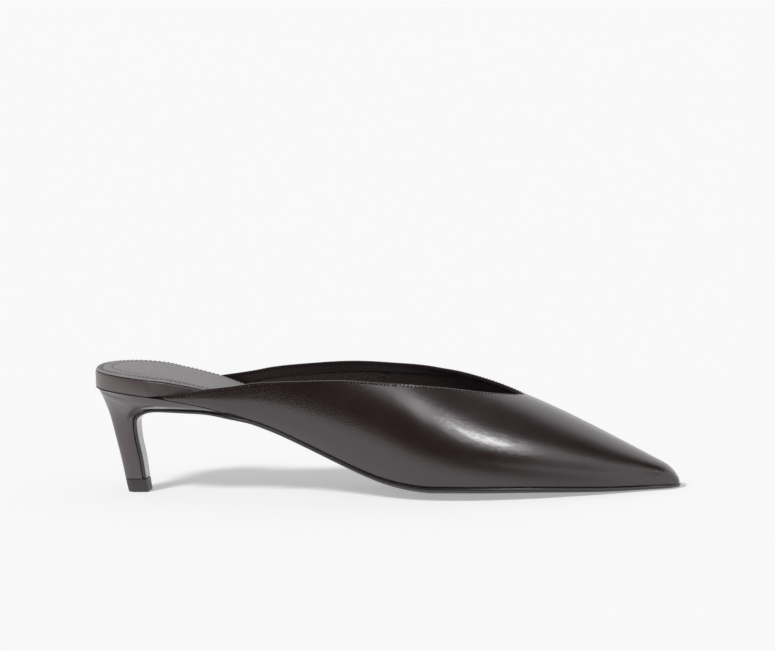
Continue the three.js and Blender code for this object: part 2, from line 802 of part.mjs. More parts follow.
// Heel: levels from the top lift to the seat, each from the breast round the back to the breast.
function heelLevel(shell, path, height, width, widest, square) {
  const out = pathNormal(path);
  const front = new THREE.Vector3(
    pathX(path) - out.x * clearance,
    pathWidth(path),
    pathZ(path) - out.y * clearance,
  );
  const backZ = aboveLift(height);
  const backX = heelInset(backZ / heelHeight) * footLength;
  const sideX = widest * footLength;
  const sideY = width * treadHalf;
  const half = [];
  for (let k = 0; k <= heelSides; k += 1) {
    const turn = (k / heelSides) * (Math.PI / 2);
    const bow = 2 / square;
    half.push([sideX - (sideX - backX) * Math.cos(turn) ** bow, sideY * Math.sin(turn) ** bow]);
  }
  for (let k = 1; k <= heelFlankSteps; k += 1) {
    const t = k / heelFlankSteps;
    half.push([THREE.MathUtils.lerp(sideX, front.x, t), sideY + (front.y - sideY) * t ** flankTaper]);
  }
  const points = (side) => half.map(([x, y]) => {
    const share = THREE.MathUtils.clamp((front.x - x) / (front.x - backX), 0, 1);
    const shift = middle(x) * THREE.MathUtils.smoothstep(path, breastRows.length, pathRows.length);
    return new THREE.Vector3(x, shift + side * y, THREE.MathUtils.lerp(front.z, backZ, share));
  });
  const row = [...points(lateral).reverse(), ...points(medial).slice(1)];
  return row.map((point) => shell.add(point));
}

function heelSeatLevel(shell) {
  const front = flapEnd - clearance;
  const half = [];
  for (let k = 0; k <= heelSides; k += 1) {
    half.push(seatRound * (1 - Math.cos((k / heelSides) * (Math.PI / 2))));
  }
  for (let k = 1; k <= heelFlankSteps; k += 1) {
    half.push(THREE.MathUtils.lerp(seatRound, front, k / heelFlankSteps));
  }
  const points = (side) => half.map((x) => {
    const place = edgePoint(x, side, 0);
    return new THREE.Vector3(place.x, place.y, bed(place.x, place.y) - clearance);
  });
  return [...points(lateral).reverse(), ...points(medial).slice(1)].map((point) => shell.add(point));
}

function lateralHalf(row) {
  return row.slice(0, (row.length + 1) / 2);
}

function medialHalf(row) {
  return row.slice((row.length - 1) / 2).reverse();
}

function makeHeel(material) {
  const shell = new Shell();
  const { path, height, width, widest, square } = heelLevels;
  const rows = path.map((start, i) => heelLevel(shell, start, height[i], width[i], widest[i], square[i]));
  rows.push(heelSeatLevel(shell));
  for (let i = 0; i < rows.length - 1; i += 1) shell.join(rows[i], rows[i + 1], false);
  const last = rows[rows.length - 1];
  const seatAt = (point) => bed(point.x, point.y) - clearance;
  capGrid(shell, lateralHalf(rows[0]), medialHalf(rows[0]), heelColumns);
  capGrid(shell, medialHalf(last), lateralHalf(last), heelColumns, seatAt);
  const breastAt = (point, i) => (i === rows.length - 1 ? seatAt(point) : point.z);
  const breastEdges = [rows.map((row) => row[row.length - 1]), rows.map((row) => row[0])];
  capGrid(shell, breastEdges[0], breastEdges[1], heelColumns, breastAt);
  return shell.mesh('heel', material);
}

// Top lift: a small D, flat in front, leaning with the heel.
function makeTopLift(material) {
  const shell = new Shell();
  const lean = (z) => {
    const front = THREE.MathUtils.lerp(pathX(0), pathX(1), (z - pathZ(0)) / (pathZ(1) - pathZ(0)));
    return [heelInset(z / heelHeight) * footLength, front + flapThickness];
  };
  const levels = [
    [0, topLiftBevel],
    [topLiftBevel, 0],
    [topLiftHeight, 0],
  ];
  const rows = levels.map(([z, inset]) => {
    const [back, front] = lean(z);
    const backX = back + inset;
    const frontX = front - inset / 2;
    const sideX = (backX + frontX) / 2;
    const bow = 2 / topLiftSquare;
    const sideY = topLiftWidth / 2 - inset;
    const half = [];
    for (let k = 0; k <= heelSides; k += 1) {
      const turn = (k / heelSides) * (Math.PI / 2);
      half.push([sideX - (sideX - backX) * Math.cos(turn) ** bow, sideY * Math.sin(turn) ** bow]);
    }
    half.push([frontX - topLiftBevel, sideY], [frontX, sideY - topLiftBevel]);
    const points = (side) => half.map(([x, y]) => new THREE.Vector3(x, side * y, z));
    return [...points(lateral).reverse(), ...points(medial).slice(1)].map((point) => shell.add(point));
  });
  for (let i = 0; i < rows.length - 1; i += 1) shell.join(rows[i], rows[i + 1]);
  const last = rows[rows.length - 1];
  capGrid(shell, lateralHalf(rows[0]), medialHalf(rows[0]), 1);
  capGrid(shell, medialHalf(last), lateralHalf(last), 1);
  return shell.mesh('top_lift', material);
}

function leather(color, roughness) {
  return new THREE.MeshStandardMaterial({ color, roughness, metalness: 0 });
}

const shoe = new THREE.Group();
shoe.add(makeUpper(leather(0x3a2b2b, 0.35)));
shoe.add(makeInsole(leather(0x453838, 0.45)));
shoe.add(makeSock(leather(0x6d6465, 0.55)));
shoe.add(makeOutsole(leather(0x2f2526, 0.5)));
shoe.add(makeHeel(leather(0x40333a, 0.35)));
shoe.add(makeTopLift(leather(0x2a2224, 0.5)));

const box = new THREE.Box3().setFromObject(shoe);
const centre = box.getCenter(new THREE.Vector3());
shoe.position.set(-centre.x, -centre.y, -box.min.z);
shoe.updateMatrixWorld(true);

export default shoe;
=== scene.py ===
# %% [markdown]
# # A backless pump with a slim heel
# The shoe stands empty on a pale floor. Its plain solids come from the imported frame. Here each of them is
# replaced by a fine surface, worked out with the same curves, and then dressed: the topline gets its rolled
# edge and stitches, the sock its padding, and every leather its own grain and gloss.

# %% The frame
import math

import bmesh
import bpy
import numpy as np
from mathutils import Matrix, Vector


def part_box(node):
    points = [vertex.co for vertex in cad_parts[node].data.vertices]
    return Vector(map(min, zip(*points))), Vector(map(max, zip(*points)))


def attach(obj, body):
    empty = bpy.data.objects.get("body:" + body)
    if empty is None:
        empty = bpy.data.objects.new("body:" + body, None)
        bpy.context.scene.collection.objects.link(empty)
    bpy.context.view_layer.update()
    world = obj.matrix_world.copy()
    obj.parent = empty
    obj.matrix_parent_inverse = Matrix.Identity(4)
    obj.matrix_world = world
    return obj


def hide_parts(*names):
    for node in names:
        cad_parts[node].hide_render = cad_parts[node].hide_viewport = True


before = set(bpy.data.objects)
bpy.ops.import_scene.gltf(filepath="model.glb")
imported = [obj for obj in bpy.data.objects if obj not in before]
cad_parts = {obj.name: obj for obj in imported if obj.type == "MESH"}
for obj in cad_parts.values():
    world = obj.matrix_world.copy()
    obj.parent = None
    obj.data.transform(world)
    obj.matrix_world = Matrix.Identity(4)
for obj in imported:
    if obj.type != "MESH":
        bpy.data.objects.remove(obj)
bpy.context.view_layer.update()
print("frame nodes:", sorted(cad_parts))

# %% [markdown]
# ## Where the shoe lies
# A last maker measures a shoe from the back of the seat, in millimetres. All shapes below are worked out
# that way: X towards the toe, Y towards the inner side of the foot, Z up. Only when a mesh is finished are
# its points set in metres in the frame. The back of the insole gives the place along the foot.

# %% From the last maker's millimetres to the frame
millimetre = 0.001
seat_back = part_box("insole")[0].x
sole_low, sole_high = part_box("outsole")


def in_frame(points):
    """Points of the shoe in millimetres, as points of the frame in metres."""
    return np.asarray(points, float) * millimetre + np.array([seat_back, side_shift, 0.0])


def place_object(name, data):
    """A new object with this data, in the scene."""
    thing = bpy.data.objects.new(name, data)
    bpy.context.scene.collection.objects.link(thing)
    return thing


# %% [markdown]
# ## Driving sizes
# These are the sizes of the solids. A table gives shares of them along the foot, so that the whole
# shoe follows its length, its tread, its heel height and the rise of its vamp.

# %% Driving sizes, in millimetres
foot_length = 264.0
tread_half = 35.5
heel_height = 49.0
vamp_rise = 36.7
throat = 195.0
wing_start = 36.0
seat_round = 28.0
seat_square = 2.2
toe_round = 7.0
camber = 4.0
flat_share = 0.2
camber_bend = 1.5
upper_wall = 1.6
skived_wall = 0.8
skive_run = 16.0
lasting_width = 5.0
wing_lasting_width = 2.0
toe_lasting_width = 2.6
lasting_wall = 0.9
sole_thickness = 2.2
sole_reveal = 0.4
rand_height = 7.2
rand_radius = 0.6
rand_step_run = 8.0
rim_share = 0.3
sock_thickness = 1.0
sock_toe_thickness = 0.5
sock_shoulder = 1.8
sock_crown = 0.8
sock_fade = 50.0
footbed_share = 0.7
clearance = 0.3
top_lift_height = 5.9
top_lift_width = 10.0
top_lift_bevel = 0.5
top_lift_square = 2.6
flap_thickness = 1.5
waist_run = 8.0
flank_taper = 1.6
probe = 0.02
slope_step = 0.0001
steepest = 3.0
nearly_none = 1e-6

LATERAL = -1
MEDIAL = 1


def table(columns, rows):
    """A table as one array per named column."""
    return dict(zip(columns.split(), np.array(rows).T))


# %% The outline of the bed and what lies under it, along the foot
outline = table("at outer inner", [
    [0.0, 0.71, 0.73],
    [0.14, 0.71, 0.69],
    [0.2, 0.675, 0.608],
    [0.27, 0.64, 0.525],
    [0.34, 0.64, 0.475],
    [0.41, 0.687, 0.48],
    [0.48, 0.788, 0.56],
    [0.55, 0.922, 0.712],
    [0.62, 1.0, 0.89],
    [0.69, 0.968, 0.992],
    [0.76, 0.835, 0.952],
    [0.83, 0.626, 0.822],
    [0.9, 0.388, 0.606],
    [0.96, 0.155, 0.35],
    [1.0, 0.045, 0.237],
])
underfoot = table("at middle seat edge sole", [
    [0.0, 0.752, 0.217, 0.0, 0.62],
    [0.05, 0.752, 0.196, 0.0, 0.62],
    [0.1, 0.753, 0.162, 0.02, 0.62],
    [0.16, 0.755, 0.103, 0.05, 0.62],
    [0.2, 0.753, 0.054, 0.1, 0.62],
    [0.23, 0.733, 0.023, 0.14, 0.62],
    [0.27, 0.686, 0.0, 0.2, 0.62],
    [0.31, 0.61, 0.0, 0.25, 0.62],
    [0.36, 0.487, 0.0, 0.3, 0.64],
    [0.41, 0.353, 0.0, 0.38, 0.68],
    [0.46, 0.218, 0.0, 0.53, 0.76],
    [0.51, 0.097, 0.0, 0.76, 0.88],
    [0.56, 0.022, 0.0, 0.95, 1.0],
    [0.6, 0.0, 0.0, 1.0, 1.0],
    [0.69, 0.0, 0.0, 0.92, 1.0],
    [0.78, 0.0, 0.0, 0.7, 0.94],
    [0.84, 0.003, 0.0, 0.42, 0.86],
    [0.9, 0.007, 0.0, 0.18, 0.76],
    [0.96, 0.01, 0.0, 0.05, 0.68],
    [1.0, 0.012, 0.0, 0.0, 0.64],
])
insole_depth = table("at depth", [
    [0.0, 1.0],
    [0.2, 1.0],
    [0.27, 0.93],
    [0.34, 0.75],
    [0.41, 0.56],
    [0.48, 0.43],
    [0.55, 0.37],
    [0.76, 0.35],
    [1.0, 0.3],
])

# %% The upper's cross-sections and its topline
sections = table("at girth crest outer_swell inner_swell crest_side fullness", [
    [0.14, 0.02, 0.84, 0.022, 0.022, 0.0, 0.0],
    [0.2, 0.12, 1.06, 0.06, 0.08, 0.0, 0.0],
    [0.27, 0.27, 1.25, 0.11, 0.17, 0.0, 0.0],
    [0.34, 0.41, 1.44, 0.15, 0.25, 0.0, 0.0],
    [0.41, 0.51, 1.58, 0.165, 0.28, 0.0, 0.0],
    [0.48, 0.54, 1.625, 0.14, 0.24, 0.0, -0.01],
    [0.55, 0.46, 1.55, 0.1, 0.155, 0.01, -0.02],
    [0.62, 0.355, 1.355, 0.07, 0.09, 0.045, -0.03],
    [0.69, 0.285, 1.14, 0.062, 0.065, 0.07, -0.04],
    [0.76, 0.245, 0.94, 0.06, 0.058, 0.082, -0.035],
    [0.83, 0.205, 0.73, 0.055, 0.053, 0.09, -0.02],
    [0.9, 0.165, 0.5, 0.044, 0.044, 0.094, 0.0],
    [0.96, 0.125, 0.29, 0.03, 0.03, 0.094, 0.02],
    [1.0, 0.08, 0.15, 0.015, 0.015, 0.06, 0.03],
])
collar = table("at outer inner", [
    [0.0, 0.6, 0.6],
    [0.05, 3.5, 3.3],
    [0.11, 5.9, 5.7],
    [0.22, 9.2, 9.8],
    [0.34, 14.0, 15.6],
    [0.455, 21.8, 24.4],
    [0.57, 32.0, 35.3],
    [0.69, 44.3, 49.6],
    [0.8, 56.0, 62.9],
    [0.88, 64.6, 71.9],
    [0.94, 73.2, 79.3],
    [0.975, 81.0, 84.6],
    [1.0, 90.0, 90.0],
])

# %% The heel and its breast
breast = table("forward height width", [
    [0.0773, 0.0, 0.132],
    [0.0723, 0.239, 0.137],
    [0.0675, 0.393, 0.144],
    [0.0648, 0.544, 0.156],
    [0.0655, 0.621, 0.17],
    [0.0704, 0.675, 0.187],
    [0.081, 0.72, 0.207],
])
flap = table("at width", [
    [0.1, 0.232],
    [0.13, 0.275],
    [0.165, 0.37],
    [0.205, 0.5],
    [0.245, 0.625],
])
heel_levels = table("path height width widest square", [
    [0.0, 0.0, 0.139, 0.063, 2.7],
    [0.5, 0.124, 0.141, 0.061, 2.6],
    [1.0, 0.25, 0.145, 0.059, 2.6],
    [2.0, 0.405, 0.155, 0.055, 2.5],
    [3.0, 0.554, 0.175, 0.052, 2.4],
    [4.0, 0.679, 0.22, 0.053, 2.3],
    [5.0, 0.777, 0.295, 0.059, 2.2],
    [6.0, 0.845, 0.39, 0.068, 2.1],
    [7.0, 0.897, 0.49, 0.08, 2.0],
    [8.0, 0.935, 0.58, 0.092, 2.0],
    [9.0, 0.962, 0.645, 0.103, 2.0],
    [10.0, 0.982, 0.688, 0.11, 2.0],
])
heel_back = table("height inset", [
    [0.0, 0.049],
    [0.12, 0.0445],
    [0.24, 0.0405],
    [0.36, 0.036],
    [0.47, 0.0315],
    [0.58, 0.0268],
    [0.69, 0.0226],
    [0.79, 0.017],
    [0.88, 0.0112],
    [0.95, 0.0058],
    [1.0, 0.0025],
])

# %% [markdown]
# ## Curves through the tables
# Two kinds are needed. A natural cubic spline gives the smoothest line through its points. It may overshoot
# them a little, which would lift the flat of the tread off the floor, so heights under the foot use a curve
# that never passes its own points.


# %% Two kinds of curve
def stretch_of(xs, x):
    """Which stretch of the curve x lies in, how long that is, and how far along it x is, from 0 to 1."""
    i = np.clip(np.searchsorted(xs, x, side="right") - 1, 0, len(xs) - 2)
    step = xs[i + 1] - xs[i]
    return i, step, np.clip((x - xs[i]) / step, 0, 1)


def spline(xs, ys):
    """Natural cubic spline, which also carries whole rows of points."""
    xs = np.asarray(xs, float)
    ys = np.asarray(ys, float)
    steps = np.diff(xs)
    count = len(xs)
    system = np.eye(count)
    right = np.zeros_like(ys)
    shape = (-1,) + (1,) * (ys.ndim - 1)
    slopes = np.diff(ys, axis=0) / steps.reshape(shape)
    for i in range(1, count - 1):
        system[i, i - 1:i + 2] = steps[i - 1], 2 * (steps[i - 1] + steps[i]), steps[i]
        right[i] = 6 * (slopes[i] - slopes[i - 1])
    bend = np.linalg.solve(system, right.reshape(count, -1)).reshape(ys.shape)

    def at(x):
        i, step, t = stretch_of(xs, np.asarray(x, float))
        if ys.ndim > 1:
            t = t.reshape(t.shape + (1,) * (ys.ndim - 1))
            step = step.reshape(t.shape)
        s = 1 - t
        curved = ((s ** 3 - s) * bend[i] + (t ** 3 - t) * bend[i + 1]) * step ** 2 / 6
        return s * ys[i] + t * ys[i + 1] + curved

    return at


def steady(xs, ys):
    """Curve with the spline's slopes, held back where it would pass its own points."""
    xs = np.asarray(xs, float)
    ys = np.asarray(ys, float)
    smooth = spline(xs, ys)
    rise = np.diff(ys) / np.diff(xs)
    free = (smooth(xs[1:-1] + slope_step) - smooth(xs[1:-1] - slope_step)) / (2 * slope_step)
    before, after = rise[:-1], rise[1:]
    limit = np.where(before * after <= 0, 0, steepest * np.minimum(np.abs(before), np.abs(after)))
    held_back = np.clip(free, np.where(after < 0, -limit, 0), np.where(after > 0, limit, 0))
    slope = np.concatenate([rise[:1], held_back, rise[-1:]])

    def at(x):
        i, step, t = stretch_of(xs, np.asarray(x, float))
        held = (1 - t) ** 2 * ((1 + 2 * t) * ys[i] + t * step * slope[i])
        return held + t ** 2 * ((3 - 2 * t) * ys[i + 1] - (1 - t) * step * slope[i + 1])

    return at


def along_foot(source, column, scale, kind=spline):
    """A column of a table as a function of the place along the foot, in millimetres."""
    curve = kind(source["at"], source[column])
    return lambda x: scale * curve(np.asarray(x, float) / foot_length)


def ease(x, low, high):
    """From 0 at low to 1 at high, with soft ends."""
    t = np.clip((np.asarray(x, float) - low) / (high - low), 0, 1)
    return t * t * (3 - 2 * t)


def mix(a, b, share):
    return a + (b - a) * share


outer_edge = along_foot(outline, "outer", tread_half)
inner_edge = along_foot(outline, "inner", tread_half)
middle_height = along_foot(underfoot, "middle", heel_height, steady)
seat_height = along_foot(underfoot, "seat", heel_height, steady)
edge_rise = along_foot(underfoot, "edge", camber)
sole_depth = along_foot(underfoot, "sole", sole_thickness, steady)
girth_rise = along_foot(sections, "girth", vamp_rise)
crest_rise = along_foot(sections, "crest", vamp_rise)
outer_swell = along_foot(sections, "outer_swell", tread_half)
inner_swell = along_foot(sections, "inner_swell", tread_half)
crest_side = along_foot(sections, "crest_side", tread_half)
fullness = along_foot(sections, "fullness", 1.0)
insole_height = along_foot(insole_depth, "depth", rand_height)
flap_width = along_foot(flap, "width", tread_half)
outer_collar = spline(collar["at"], collar["outer"])
inner_collar = spline(collar["at"], collar["inner"])
heel_inset = spline(heel_back["height"], heel_back["inset"])

# %% [markdown]
# ## The bed
# The bed is the surface that the insole lies on. Its outline closes round the seat and round the toe tip,
# and under the ball it is dished, because the sole there curves up to its edge.


# %% The bed and its outline
def toward_toe(x):
    return ease(x, throat, foot_length)


def toe_closing(x):
    run = np.clip((np.asarray(x, float) - foot_length + toe_round) / toe_round, 0, 1)
    return np.sqrt(1 - run ** 2)


def seat_closing(x):
    run = np.clip((seat_round - np.asarray(x, float)) / seat_round, 0, 1)
    return (1 - run ** seat_square) ** (1 / seat_square)


def middle(x):
    return (inner_edge(x) - outer_edge(x)) / 2


def half_width(x):
    return (inner_edge(x) + outer_edge(x)) / 2 * toe_closing(x) * seat_closing(x)


def edge_y(x, side):
    return middle(x) + side * half_width(x)


def bed_edge(x):
    return middle_height(x) + edge_rise(x) + sole_depth(x) + clearance + seat_height(x)


def dish(x, y):
    out = np.abs(y - middle(x)) / np.maximum(half_width(x), clearance)
    climb = np.clip((out - flat_share) / (1 - flat_share), 0, 1)
    return edge_rise(x) * (1 - climb ** camber_bend)


def bed(x, y):
    return bed_edge(x) - dish(x, y)


def edge_point(x, side, inset):
    """Places on the outline, moved in from it by inset, as X and Y."""
    x = np.asarray(x, float)
    step = np.clip(np.minimum(x, foot_length - x) / 2, nearly_none, probe)
    slope = (edge_y(x + step, side) - edge_y(x - step, side)) / (2 * step)
    length = np.sqrt(1 + slope ** 2)
    return x + inset * side * slope / length, edge_y(x, side) - inset * side / length


# %% [markdown]
# ## The upper's form
# Each cross-section of the upper rises from the bed's edge, swells to its widest line and closes over to the
# crest. The topline is a height on these sections: low at the ends of the wings, up to the crest at the V.


# %% Cross-sections of the upper
def crest_y(x):
    return middle(x) + (crest_side(x) - middle(x)) * toe_closing(x)


def swell(x, side):
    return (outer_swell(x) if side == LATERAL else inner_swell(x)) * toe_closing(x)


def section_reach(x, side):
    return side * (edge_y(x, side) - crest_y(x)) + swell(x, side)


def foot_angle(x, side):
    return np.arccos(1 - swell(x, side) / section_reach(x, side))


def collar_angle(x, side):
    share = np.clip((x - wing_start) / (throat - wing_start), 0, 1)
    degrees = outer_collar(share) if side == LATERAL else inner_collar(share)
    return np.radians(np.where(x >= throat, 90.0, degrees))


def section_point(x, side, angle):
    """Points of the upper's outside. The angle goes from the widest line, 0, up to the crest."""
    x = np.asarray(x, float)
    low = bed_edge(x)
    girth = low + girth_rise(x) * toe_closing(x)
    crest = low + crest_rise(x) * toe_closing(x)
    full = np.where(angle < 0, 1, 1 + fullness(x) * np.sin(2 * angle) ** 2)
    rise = np.where(angle < 0, (girth - low) / np.sin(foot_angle(x, side)), crest - girth)
    y = crest_y(x) + side * section_reach(x, side) * np.cos(angle) * full
    z = girth + rise * np.sin(angle) * full
    return np.stack(np.broadcast_arrays(x, y, z), axis=-1)


def unit(vectors):
    return vectors / np.maximum(np.linalg.norm(vectors, axis=-1, keepdims=True), 1e-12)


def section_frame(x, side, angle):
    """At points of the upper's outside: the direction out of it, and the direction up it."""
    step = np.minimum(probe, (foot_length - x) / 2)
    turn = probe / vamp_rise
    along = section_point(x + step, side, angle) - section_point(x - step, side, angle)
    around = section_point(x, side, angle + turn) - section_point(x, side, angle - turn)
    out = unit(np.cross(along, around))
    facing = side * out[..., 1] * np.cos(angle) + out[..., 2] * np.sin(angle)
    return out * np.where(facing < 0, -1, 1)[..., None], unit(around)


def skived(x):
    return ease(x, wing_start, wing_start + skive_run)


def wall_at(x):
    return mix(skived_wall, upper_wall, skived(x))


def lasting_at(x):
    return mix(mix(wing_lasting_width, lasting_width, skived(x)), toe_lasting_width, toward_toe(x))


# %% [markdown]
# ## Camera
# The photograph looks at the outer side, a little from the front and a little from above, with a long lens.
# Its rolled horizon is kept too.

# %% Camera
photo_width = 775
turn_to_front = math.radians(10.375)
look_down = math.radians(7.529)
roll = math.radians(1.834)
distance = 3000.0
pixels_per_millimetre = 2.229
aim = np.array([134.215, 0.0, 74.528])
sensor_width = 36.0
nearest_seen = 0.1
furthest_seen = 60.0
side_shift = 0.0


def make_camera():
    """The camera of the photograph, with its lens worked out from the shoe's scale in the picture."""
    camera = place_object("camera", bpy.data.cameras.new("camera"))
    back = Vector((
        math.sin(turn_to_front) * math.cos(look_down),
        -math.cos(turn_to_front) * math.cos(look_down),
        math.sin(look_down),
    ))
    level_right = back.cross(Vector((0, 0, -1))).normalized()
    level_up = back.cross(level_right)
    right = math.cos(roll) * level_right - math.sin(roll) * level_up
    up = math.sin(roll) * level_right + math.cos(roll) * level_up
    place = Vector(in_frame(aim)) + back * distance * millimetre
    camera.matrix_world = Matrix.Translation(place) @ Matrix((right, up, back)).transposed().to_4x4()
    camera.data.sensor_width = sensor_width
    camera.data.lens = camera.data.sensor_width * pixels_per_millimetre * distance / photo_width
    camera.data.clip_start = nearest_seen
    camera.data.clip_end = furthest_seen
    bpy.context.scene.camera = camera


# %% [markdown]
# ## Meshes from rows of points
# Every piece is a skin over rows of points, so one helper joins rows into faces, another welds the result,
# turns its faces outwards and hands it to the frame in the place of its plain solid.


# %% Meshes from rows of points
class Skin:
    """Rows of points joined into faces, each face with the number of its material."""

    def __init__(self):
        self.points = []
        self.faces = []
        self.finishes = []

    def rows(self, points):
        """Adds rows of points and gives back their numbers."""
        points = np.asarray(points, float)
        start = len(self.points)
        self.points.extend(points.reshape(-1, 3).tolist())
        return np.arange(start, len(self.points)).reshape(points.shape[:-1])

    def face(self, numbers, finish=0):
        """Adds one face with any number of corners."""
        self.faces.append([int(n) for n in numbers])
        self.finishes.append(finish)

    def close(self, numbers, finish=0):
        """Closes the first and the last of the rings with a flat face each."""
        for end in (numbers[0], numbers[-1]):
            self.face(end, finish)

    def join(self, numbers, finish=0, ring=False, skip=None):
        """Joins neighbouring rows of numbers. A finish is one number, or one for each column."""
        numbers = np.asarray(numbers)
        columns = numbers.shape[1]
        for k in range(columns if ring else columns - 1):
            beside = (k + 1) % columns
            for i in range(len(numbers) - 1):
                if skip is not None and skip(i, k):
                    continue
                corners = numbers[i, k], numbers[i, beside], numbers[i + 1, beside], numbers[i + 1, k]
                self.face(corners, finish if np.isscalar(finish) else finish[k])


weld_distance = 2e-6


def make_piece(name, skin, materials, replaced=None):
    """A welded mesh in the frame, riding on the shoe's one body."""
    mesh = bpy.data.meshes.new(name)
    mesh.from_pydata(in_frame(skin.points).tolist(), [], skin.faces)
    mesh.polygons.foreach_set("material_index", skin.finishes)
    work = bmesh.new()
    work.from_mesh(mesh)
    bmesh.ops.remove_doubles(work, verts=work.verts, dist=weld_distance)
    bmesh.ops.delete(work, geom=[v for v in work.verts if not v.link_faces], context="VERTS")
    bmesh.ops.recalc_face_normals(work, faces=work.faces)
    if work.calc_volume(signed=True) < 0:
        bmesh.ops.reverse_faces(work, faces=work.faces)
    open_edges = sum(1 for e in work.edges if len(e.link_faces) != 2)
    work.to_mesh(mesh)
    work.free()
    mesh.shade_smooth()
    for material in materials:
        mesh.materials.append(material)
    piece = place_object(name, mesh)
    if replaced:
        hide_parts(replaced)
    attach(piece, "root")
    print(f"{name}: {len(mesh.polygons)} faces, {open_edges} open edges")
    return piece


def fold_smooth(piece, degrees):
    """Shades the piece smooth, but keeps edges that turn more than this as sharp."""
    piece.data.set_sharp_from_angle(angle=math.radians(degrees))


# %% [markdown]
# ## The upper
# Vamp and wings are one skin with a real wall. The outside and the lining are two surfaces a wall apart.
# Along the topline they meet in a rolled edge, as leather does where it is folded over and stitched. Just
# under it the stitches draw the leather in, and inside a narrow facing stands proud of the lining.

# %% The upper
topline_distances = [0.0, 0.15, 0.35, 0.6, 0.9, 1.3, 2.1, 3.0, 3.6, 3.9, 4.2, 5.2, 6.6]
stitch_distance = 0.35
facing_width = 3.9
facing_step = 0.25
stitch_draw = 0.1
near_share = 0.55
least_lasting = 0.05
rib_count = 44
rim_count = 6
stations_to_throat = 120
stations_to_toe = 50
stations_round_toe = 22
crowding = 0.45


def upper_stations():
    """Stations along the upper, closer together towards the throat and round the toe."""
    behind = np.linspace(0, 1, stations_to_throat, endpoint=False)
    behind = mix(behind, np.sin(behind * math.pi / 2), crowding)
    toe_start = foot_length - toe_round
    ahead = np.linspace(throat, toe_start, stations_to_toe, endpoint=False)
    turn = np.linspace(0, math.pi / 2, stations_round_toe, endpoint=False)
    tip = toe_start + toe_round * np.sin(turn)
    return np.concatenate([mix(wing_start, throat, behind), ahead, tip])


def topline(x, side):
    """The angle just under the rolled edge, and what is needed to measure down from it.

    That is the millimetres in one radian there, half the edge's height, and the share of the full distances
    that a low wing has room for.
    """
    top = collar_angle(x, side)
    turn = probe / vamp_rise
    arc = section_point(x, side, top) - section_point(x, side, top - turn)
    spread = np.linalg.norm(arc, axis=-1) / turn
    gap = (math.pi / 2 - top) * spread
    lip = wall_at(x) / 2 * np.clip(gap / wall_at(x), 0, 1)
    outer_top = top - lip / spread
    height = (outer_top + foot_angle(x, side)) * spread
    return outer_top, spread, lip, np.minimum(1, near_share * height / topline_distances[-1])


def wall_faces(x, side):
    """The outside, the rolled edge and the inside of the upper, as columns of points for each station."""
    outer_top, spread, lip, room = topline(x, side)
    near_angles = outer_top - np.array(topline_distances) * room / spread
    down = np.linspace(0, 1, rib_count + 1)[1:]
    angles = np.concatenate([near_angles, mix(near_angles[:, -1:], -foot_angle(x, side), down)], axis=1)
    wall = wall_at(x)
    out, up = section_frame(x, side, angles)
    outside = section_point(x, side, angles)
    open_share = np.where(x < throat, 1, 0) * room
    drawn = np.zeros(angles.shape)
    stitched = topline_distances.index(stitch_distance)
    drawn[:, stitched:stitched + 1] = stitch_draw * open_share
    thin = np.zeros(angles.shape)
    thin[:, topline_distances.index(facing_width) + 1:] = 1
    inside = outside - out * (wall - facing_step * thin * open_share)[..., None]
    outside = outside - out * drawn[..., None]

    floor = bed(inside[:, -1, 0], inside[:, -1, 1]) + lasting_wall
    lowest = inside[:, -1, 2]
    stretch = (inside[:, 0, 2] - np.minimum(floor, inside[:, 0, 2])) / (inside[:, 0, 2] - lowest)
    inside[..., 2] = inside[:, :1, 2] - (inside[:, :1, 2] - inside[..., 2]) * stretch[:, None]

    half = wall[..., None] / 2
    heart = (outside[:, :1] + inside[:, :1]) / 2
    turn = np.linspace(0, math.pi, rim_count + 2)[1:-1][None, :, None]
    rim = heart + out[:, :1] * half * np.cos(turn) + up[:, :1] * lip[..., None] * np.sin(turn)
    return outside, rim, inside


def lasting_edge(xs, side, inside):
    """The upper and the lower line of the edge that is turned in under the insole."""
    x, y = edge_point(xs, side, lasting_at(xs))
    depth = np.clip((inside[:, 0, 2] - bed_edge(xs)) / 2, least_lasting, lasting_wall)
    under = np.stack([x, y, bed(x, y)], axis=-1)[:, None]
    return under + np.array([0, 0, 1.0]) * depth[:, None, None], under


def toe_loop(side, rows):
    """The loop round the wall drawn together at the tip of the toe."""
    outside = np.tile([foot_length, middle(foot_length), bed_edge(foot_length)], (rows, 1))
    inside = outside + np.array([-upper_wall, 0, lasting_wall])
    lip = np.array(edge_point(foot_length, side, lasting_at(foot_length)))
    under = np.append(lip, bed(*lip))[None]
    rim = np.tile(outside[:1], (rim_count, 1))
    return np.concatenate([outside, rim, inside, under + [0, 0, lasting_wall], under])


def make_upper(materials):
    skin = Skin()
    xs = upper_stations()
    for side in (LATERAL, MEDIAL):
        outside, rim, inside = wall_faces(xs[:, None], side)
        rows = outside.shape[1]
        rim_end = rows + rim_count
        over, under = lasting_edge(xs, side, inside)
        loop = np.concatenate([outside[:, ::-1], rim, inside, over, under], axis=1)
        loop = np.concatenate([loop, toe_loop(side, rows)[None]])
        columns = loop.shape[1]
        facing_end = rim_end + topline_distances.index(facing_width)
        finish = [0 if k < facing_end or k == columns - 1 else 1 for k in range(columns)]
        numbers = skin.rows(loop)

        def in_crest(i, k):
            return i >= stations_to_throat and rows - 1 <= k < rim_end

        skin.join(numbers, finish, ring=True, skip=in_crest)
        back = numbers[0]
        inner_column = back[rim_end:rim_end + rows]
        skin.join([back[:rows][::-1], inner_column])
        skin.face([back[0], back[-1], back[-2], inner_column[-1]])
        skin.face(back[rows - 1:rim_end + 1])
    return make_piece("upper_skin", skin, materials, "upper")


